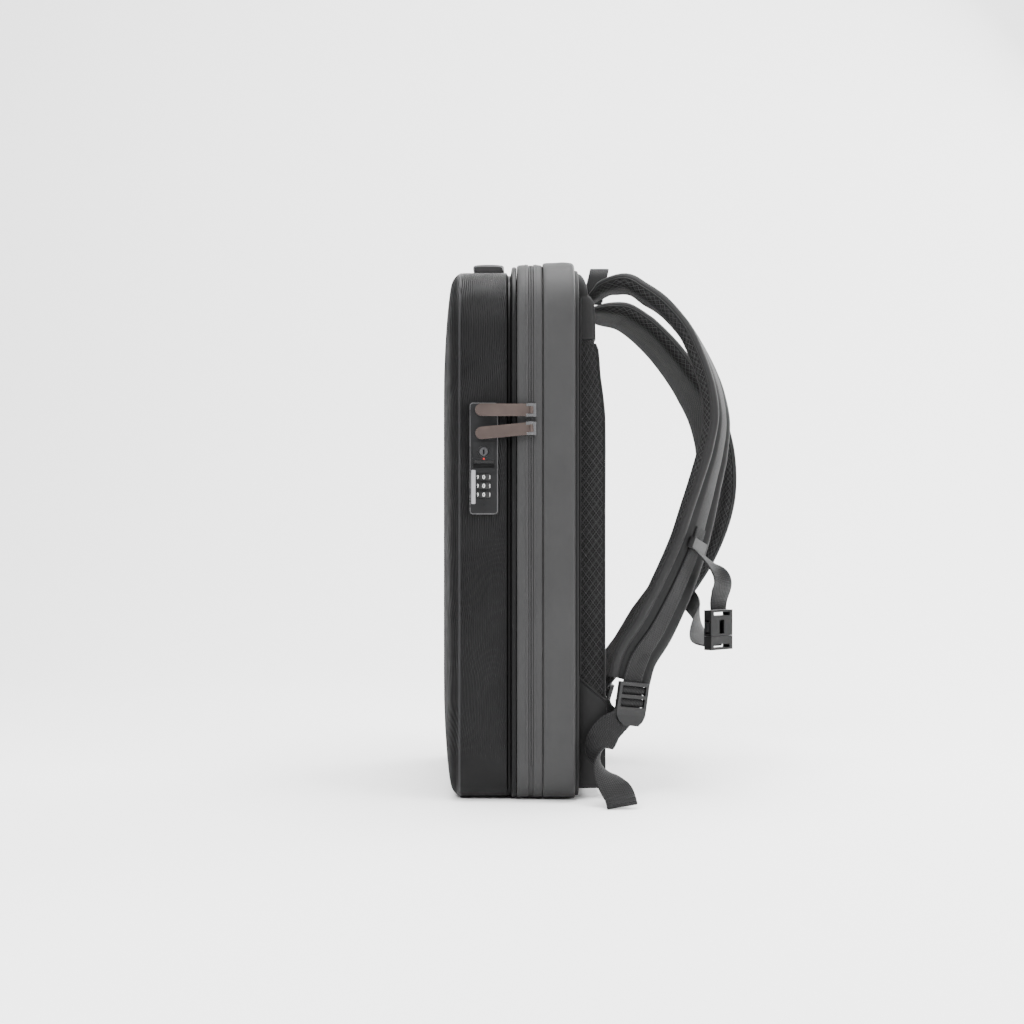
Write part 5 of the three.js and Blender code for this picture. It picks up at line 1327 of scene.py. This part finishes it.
def strap_skin(name, path, section, wave):
    """Skin of a padded strap through its stations, its valleys deeper toward its lower end."""
    rings = []
    for index, s in enumerate(path):
        ring = []
        deep = 0.25 + 0.75 * min(1.0, max(0.0, (index / len(path) - 0.45) / 0.2))
        for across, out in section:
            if out > 0.3 and abs(across) < 0.8:
                out = 1 - (1 - out) * deep
            ripple = noise.noise(Vector((index / 6, across * 2.2, out + wave))) * 0.35
            ring.append(offset(s, across * s["wide"] * STRAP_WIDTH / 2,
                               out * s["thick"] * STRAP_THICK / 2 + ripple * s["thick"] * (abs(out) > 0.3)))
        rings.append(ring)
    return loft(name, rings, sharp=60)


class BACKPACK_OT_shoulder_straps(bpy.types.Operator):
    """Padded shoulder straps with mesh undersides, rolled edges, pipings and rails"""
    bl_idname = "backpack.shoulder_straps"
    bl_label = "Shoulder straps"

    def execute(self, context):
        for name, sign, route, _ in sides():
            path = strap_path(route)
            under = strap_skin(f"Shoulder_strap_{name}", path, STRAP_UNDER, 1)
            dress(under, "bag", strap_net(), "pad_mesh", f"shoulder_strap_{name}")
            outer = strap_skin(f"Strap_cover_{name}", path, STRAP_OUTER, 7)
            dress(outer, "bag", smooth_cloth(), "smooth_cloth")
            for side in (-1, 1):
                edge = [offset(s, side * 0.99 * s["wide"] * STRAP_WIDTH / 2, 0.2 * s["thick"] * STRAP_THICK / 2) for s in path]
                piping = rod(f"Strap_piping_{name}_{'left' if side < 0 else 'right'}", edge, 0.8)
                dress(piping, "bag", smooth_cloth(), "smooth_cloth")
            rail_path = lifted(path, RAIL_FROM, 1, WEB_THICK / 2)
            rail = ribbon(f"Strap_rail_{name}", rail_path, RAIL_WIDTH)
            dress(rail, "bag", webbing_cloth(), "webbing", f"strap_rail_{name}")
            for side in (-1, 1):
                edge = [offset(s, side * (RAIL_WIDTH / 2 - 1.6), WEB_THICK / 2 + 0.05) for s in rail_path]
                ups = [s["face"] for s in rail_path]
                places, ways, ups = evenly(edge, ups, 3.6, 1)
                seam = capsules(f"Rail_seam_{name}_{'left' if side < 0 else 'right'}", places, ways, ups, 2.7, 0.3)
                dress(seam, "bag", thread_finish(), "webbing")
        return {"FINISHED"}


def ladder_frame(path):
    """Frame of the ladder lock that hangs at a strap's end."""
    end = path[-1]
    heading = unit(end["heading"] + np.array([0, 0, -LADDER_DROOP]))
    place = offset(end, 0, end["thick"] * STRAP_THICK / 2 + WEB_THICK + 3 * SEAT_GAP) + end["heading"] * SEAT_GAP
    return frame_at(place, heading, end["turn"])


def anchor_path(name, sign, lock):
    """Frames of the webbing from a wing's edge to the back of its ladder lock; the far one is flat."""
    start = np.array([PAD_FACE + 2 * SEAT_GAP, sign * (PAD_WIDTH / 2 + SEAT_GAP + WING_THICK / 2),
                      lock["place"][2] * ANCHOR_SHARE[name]])
    end = offset(lock, 0, -2 * SEAT_GAP) + lock["heading"] * LADDER_LENGTH * 0.45
    up = np.array([0, 0, 1.0])
    if name == "near":
        leave = np.array([ANCHOR_SLACK, -sign * ANCHOR_INWARD, 0])
        return slack_path(start, leave, end, lock["face"] * ANCHOR_LIFT, up, lock["side"])
    ahead = np.array([1.0, 0, 0])
    return [{"place": start + (end - start) * t, "side": up + (-lock["heading"] - up) * t,
             "face": np.cross(ahead + (lock["face"] - ahead) * t, up + (-lock["heading"] - up) * t)}
            for t in np.linspace(0, 1, 9)]


class BACKPACK_OT_lower_webbing(bpy.types.Operator):
    """Ladder locks, the webbing through them, the stretch to each wing and the free ends"""
    bl_idname = "backpack.lower_webbing"
    bl_label = "Lower webbing"

    def execute(self, context):
        slot = (LADDER_LENGTH - LADDER_FLAP - 3 * LOCK_BAR) / 2
        for name, sign, route, tail in sides():
            path = strap_path(route)
            lock = ladder_frame(path)
            dress_node(f"ladder_lock_{name}", fitting_plastic(), sizes().edge_round, 3)
            hanger = np.array([
                offset(path[-9], 0, path[-9]["thick"] * STRAP_THICK / 2 + SEAT_GAP + WEB_THICK / 2),
                offset(path[-3], 0, path[-3]["thick"] * STRAP_THICK / 2 + SEAT_GAP + WEB_THICK / 2),
                offset(lock, 0, -1.1) + lock["heading"] * 1.5, offset(lock, 0, -0.9) + lock["heading"] * 5])
            bridge = [{**s, "side": lock["side"], "face": np.cross(s["heading"], lock["side"])}
                      for s in stations(hanger, [0] * len(hanger), 24)]
            dress(ribbon(f"Ladder_hanger_{name}", bridge, RAIL_WIDTH - 0.6, 1.0), "bag", webbing_cloth(), "webbing")
            for number in (0, 1):
                foot = LOCK_BAR + number * (LOCK_BAR + slot) + 0.4
                rows = ((0, -0.6), (0.15, 0.9), (0.5, 2.0), (0.85, 0.9), (1, -0.6))
                points = np.array([offset(lock, 0, up) + lock["heading"] * (foot + along * (slot - 0.8))
                                   for along, up in rows])
                rung = [{**s, "side": lock["side"], "face": np.cross(s["heading"], lock["side"])}
                        for s in stations(points, [0] * len(rows), 20)]
                web = ribbon(f"Ladder_web_{name}_{number + 1}", rung, WEB_WIDTH - 1.0, 1.2)
                dress(web, "bag", webbing_cloth(), "webbing")
            anchor = ribbon(f"Anchor_web_{name}", anchor_path(name, sign, lock), ANCHOR_WIDTH)
            dress(anchor, "bag", webbing_cloth(), "webbing", f"anchor_web_{name}")
            end = path[-1]["place"]
            points = [(end[0] + b * TAIL_REACH, end[1] + a * TAIL_REACH, up * end[2]) for b, a, up, *_ in tail]
            tail_path = stations(points, [row[3] for row in tail], 9 * (len(tail) - 1), fold=[row[4] for row in tail])
            root = slack_path(offset(lock, 0, -1.3) + lock["heading"] * 16, lock["heading"] * 8,
                              tail_path[0]["place"], tail_path[0]["heading"] * 6, lock["side"], tail_path[0]["side"], 20)
            dress(ribbon(f"Tail_root_{name}", root, WEB_WIDTH - 1.0, 1.2), "bag", webbing_cloth(), "webbing")
            free = ribbon(f"Tail_web_{name}", tail_path, WEB_WIDTH)
            dress(free, "bag", webbing_cloth(), "webbing", f"tail_web_{name}")
        return {"FINISHED"}


def chest_station(path):
    station = path[round(CHEST_AT * (len(path) - 1))]
    return {**station, "place": offset(station, 0, station["thick"] * STRAP_THICK / 2 + SEAT_GAP)}


class BACKPACK_OT_chest_strap(bpy.types.Operator):
    """Chest strap: sliders on the rails, slack webs and the fastened buckle"""
    bl_idname = "backpack.chest_strap"
    bl_label = "Chest strap"

    def execute(self, context):
        near, far = (chest_station(strap_path(route, 40)) for route in (NEAR_STRAP, FAR_STRAP))
        turn = math.radians(BUCKLE_TURN)
        clip = near["place"]
        place = np.array([clip[0] + BUCKLE_OUT, clip[1] + BUCKLE_INWARD, clip[2] - BUCKLE_BELOW])
        side = np.array([math.sin(turn), math.cos(turn), 0])
        face = np.array([math.cos(turn), -math.sin(turn), 0])
        down = np.array([0, 0, -1.0])
        near_start = offset(near, 0, CHEST_SLIDER_THICK) + near["heading"] * (CHEST_SLIDER_LENGTH / 2 + 2 * SEAT_GAP)
        reach = RAIL_WIDTH / 2 + 2 * SEAT_GAP + CHEST_SLIDER_LEG
        far_start = offset(far, -reach, CHEST_SLIDER_THICK / 2)
        top = place - down * SEAT_GAP
        back = place + down * (BUCKLE_LENGTH - BUCKLE_WALL - BUCKLE_SLOT / 2) - face * (BUCKLE_THICK / 2 + SEAT_GAP)
        near_web = ribbon("Sternum_web_near", slack_path(
            near_start, near["heading"] * CHEST_DROOP + near["face"] * CHEST_BULGE,
            top, down * CHEST_DROOP, near["side"], side), CHEST_WIDTH)
        far_web = ribbon("Sternum_web_far", slack_path(
            far_start, far["side"] * -CHEST_SPAN, back, face * CHEST_RETURN, far["heading"], side, 80), CHEST_WIDTH)
        dress(near_web, "bag", webbing_cloth(), "webbing", "sternum_web_near")
        dress(far_web, "bag", webbing_cloth(), "webbing", "sternum_web_far")
        for name in ("sternum_slider_near", "sternum_slider_far", "buckle_female", "buckle_male"):
            dress_node(name, fitting_plastic(), sizes().edge_round, 3)
        return {"FINISHED"}


OPERATORS = (
    BACKPACK_OT_stage, BACKPACK_OT_hard_shell, BACKPACK_OT_lock, BACKPACK_OT_carry_handle, BACKPACK_OT_front_band,
    BACKPACK_OT_zip, BACKPACK_OT_rear_band, BACKPACK_OT_back, BACKPACK_OT_wings, BACKPACK_OT_hang_loop,
    BACKPACK_OT_shoulder_straps, BACKPACK_OT_lower_webbing, BACKPACK_OT_chest_strap,
)


class BACKPACK_PT_panel(bpy.types.Panel):
    """Buttons that build each piece, with the sizes and colours they use"""
    bl_label = "Backpack"
    bl_idname = "BACKPACK_PT_panel"
    bl_space_type = "VIEW_3D"
    bl_region_type = "UI"
    bl_category = "Backpack"

    def draw(self, context):
        for operator in OPERATORS:
            self.layout.operator(operator.bl_idname)
        for group in (context.scene.backpack_sizes, context.scene.backpack_colours):
            column = self.layout.column()
            for name in group.bl_rna.properties.keys():
                if name not in ("rna_type", "name"):
                    column.prop(group, name)


CLASSES = (BackpackSizes, BackpackColours, *OPERATORS, BACKPACK_PT_panel)


def register():
    for cls in CLASSES:
        bpy.utils.register_class(cls)
    bpy.types.Scene.backpack_sizes = PointerProperty(type=BackpackSizes)
    bpy.types.Scene.backpack_colours = PointerProperty(type=BackpackColours)


def unregister():
    del bpy.types.Scene.backpack_colours
    del bpy.types.Scene.backpack_sizes
    for cls in reversed(CLASSES):
        bpy.utils.unregister_class(cls)


def main():
    register()
    for operator in OPERATORS:
        group, name = operator.bl_idname.split(".")
        getattr(getattr(bpy.ops, group), name)()


if __name__ == "__main__":
    main()
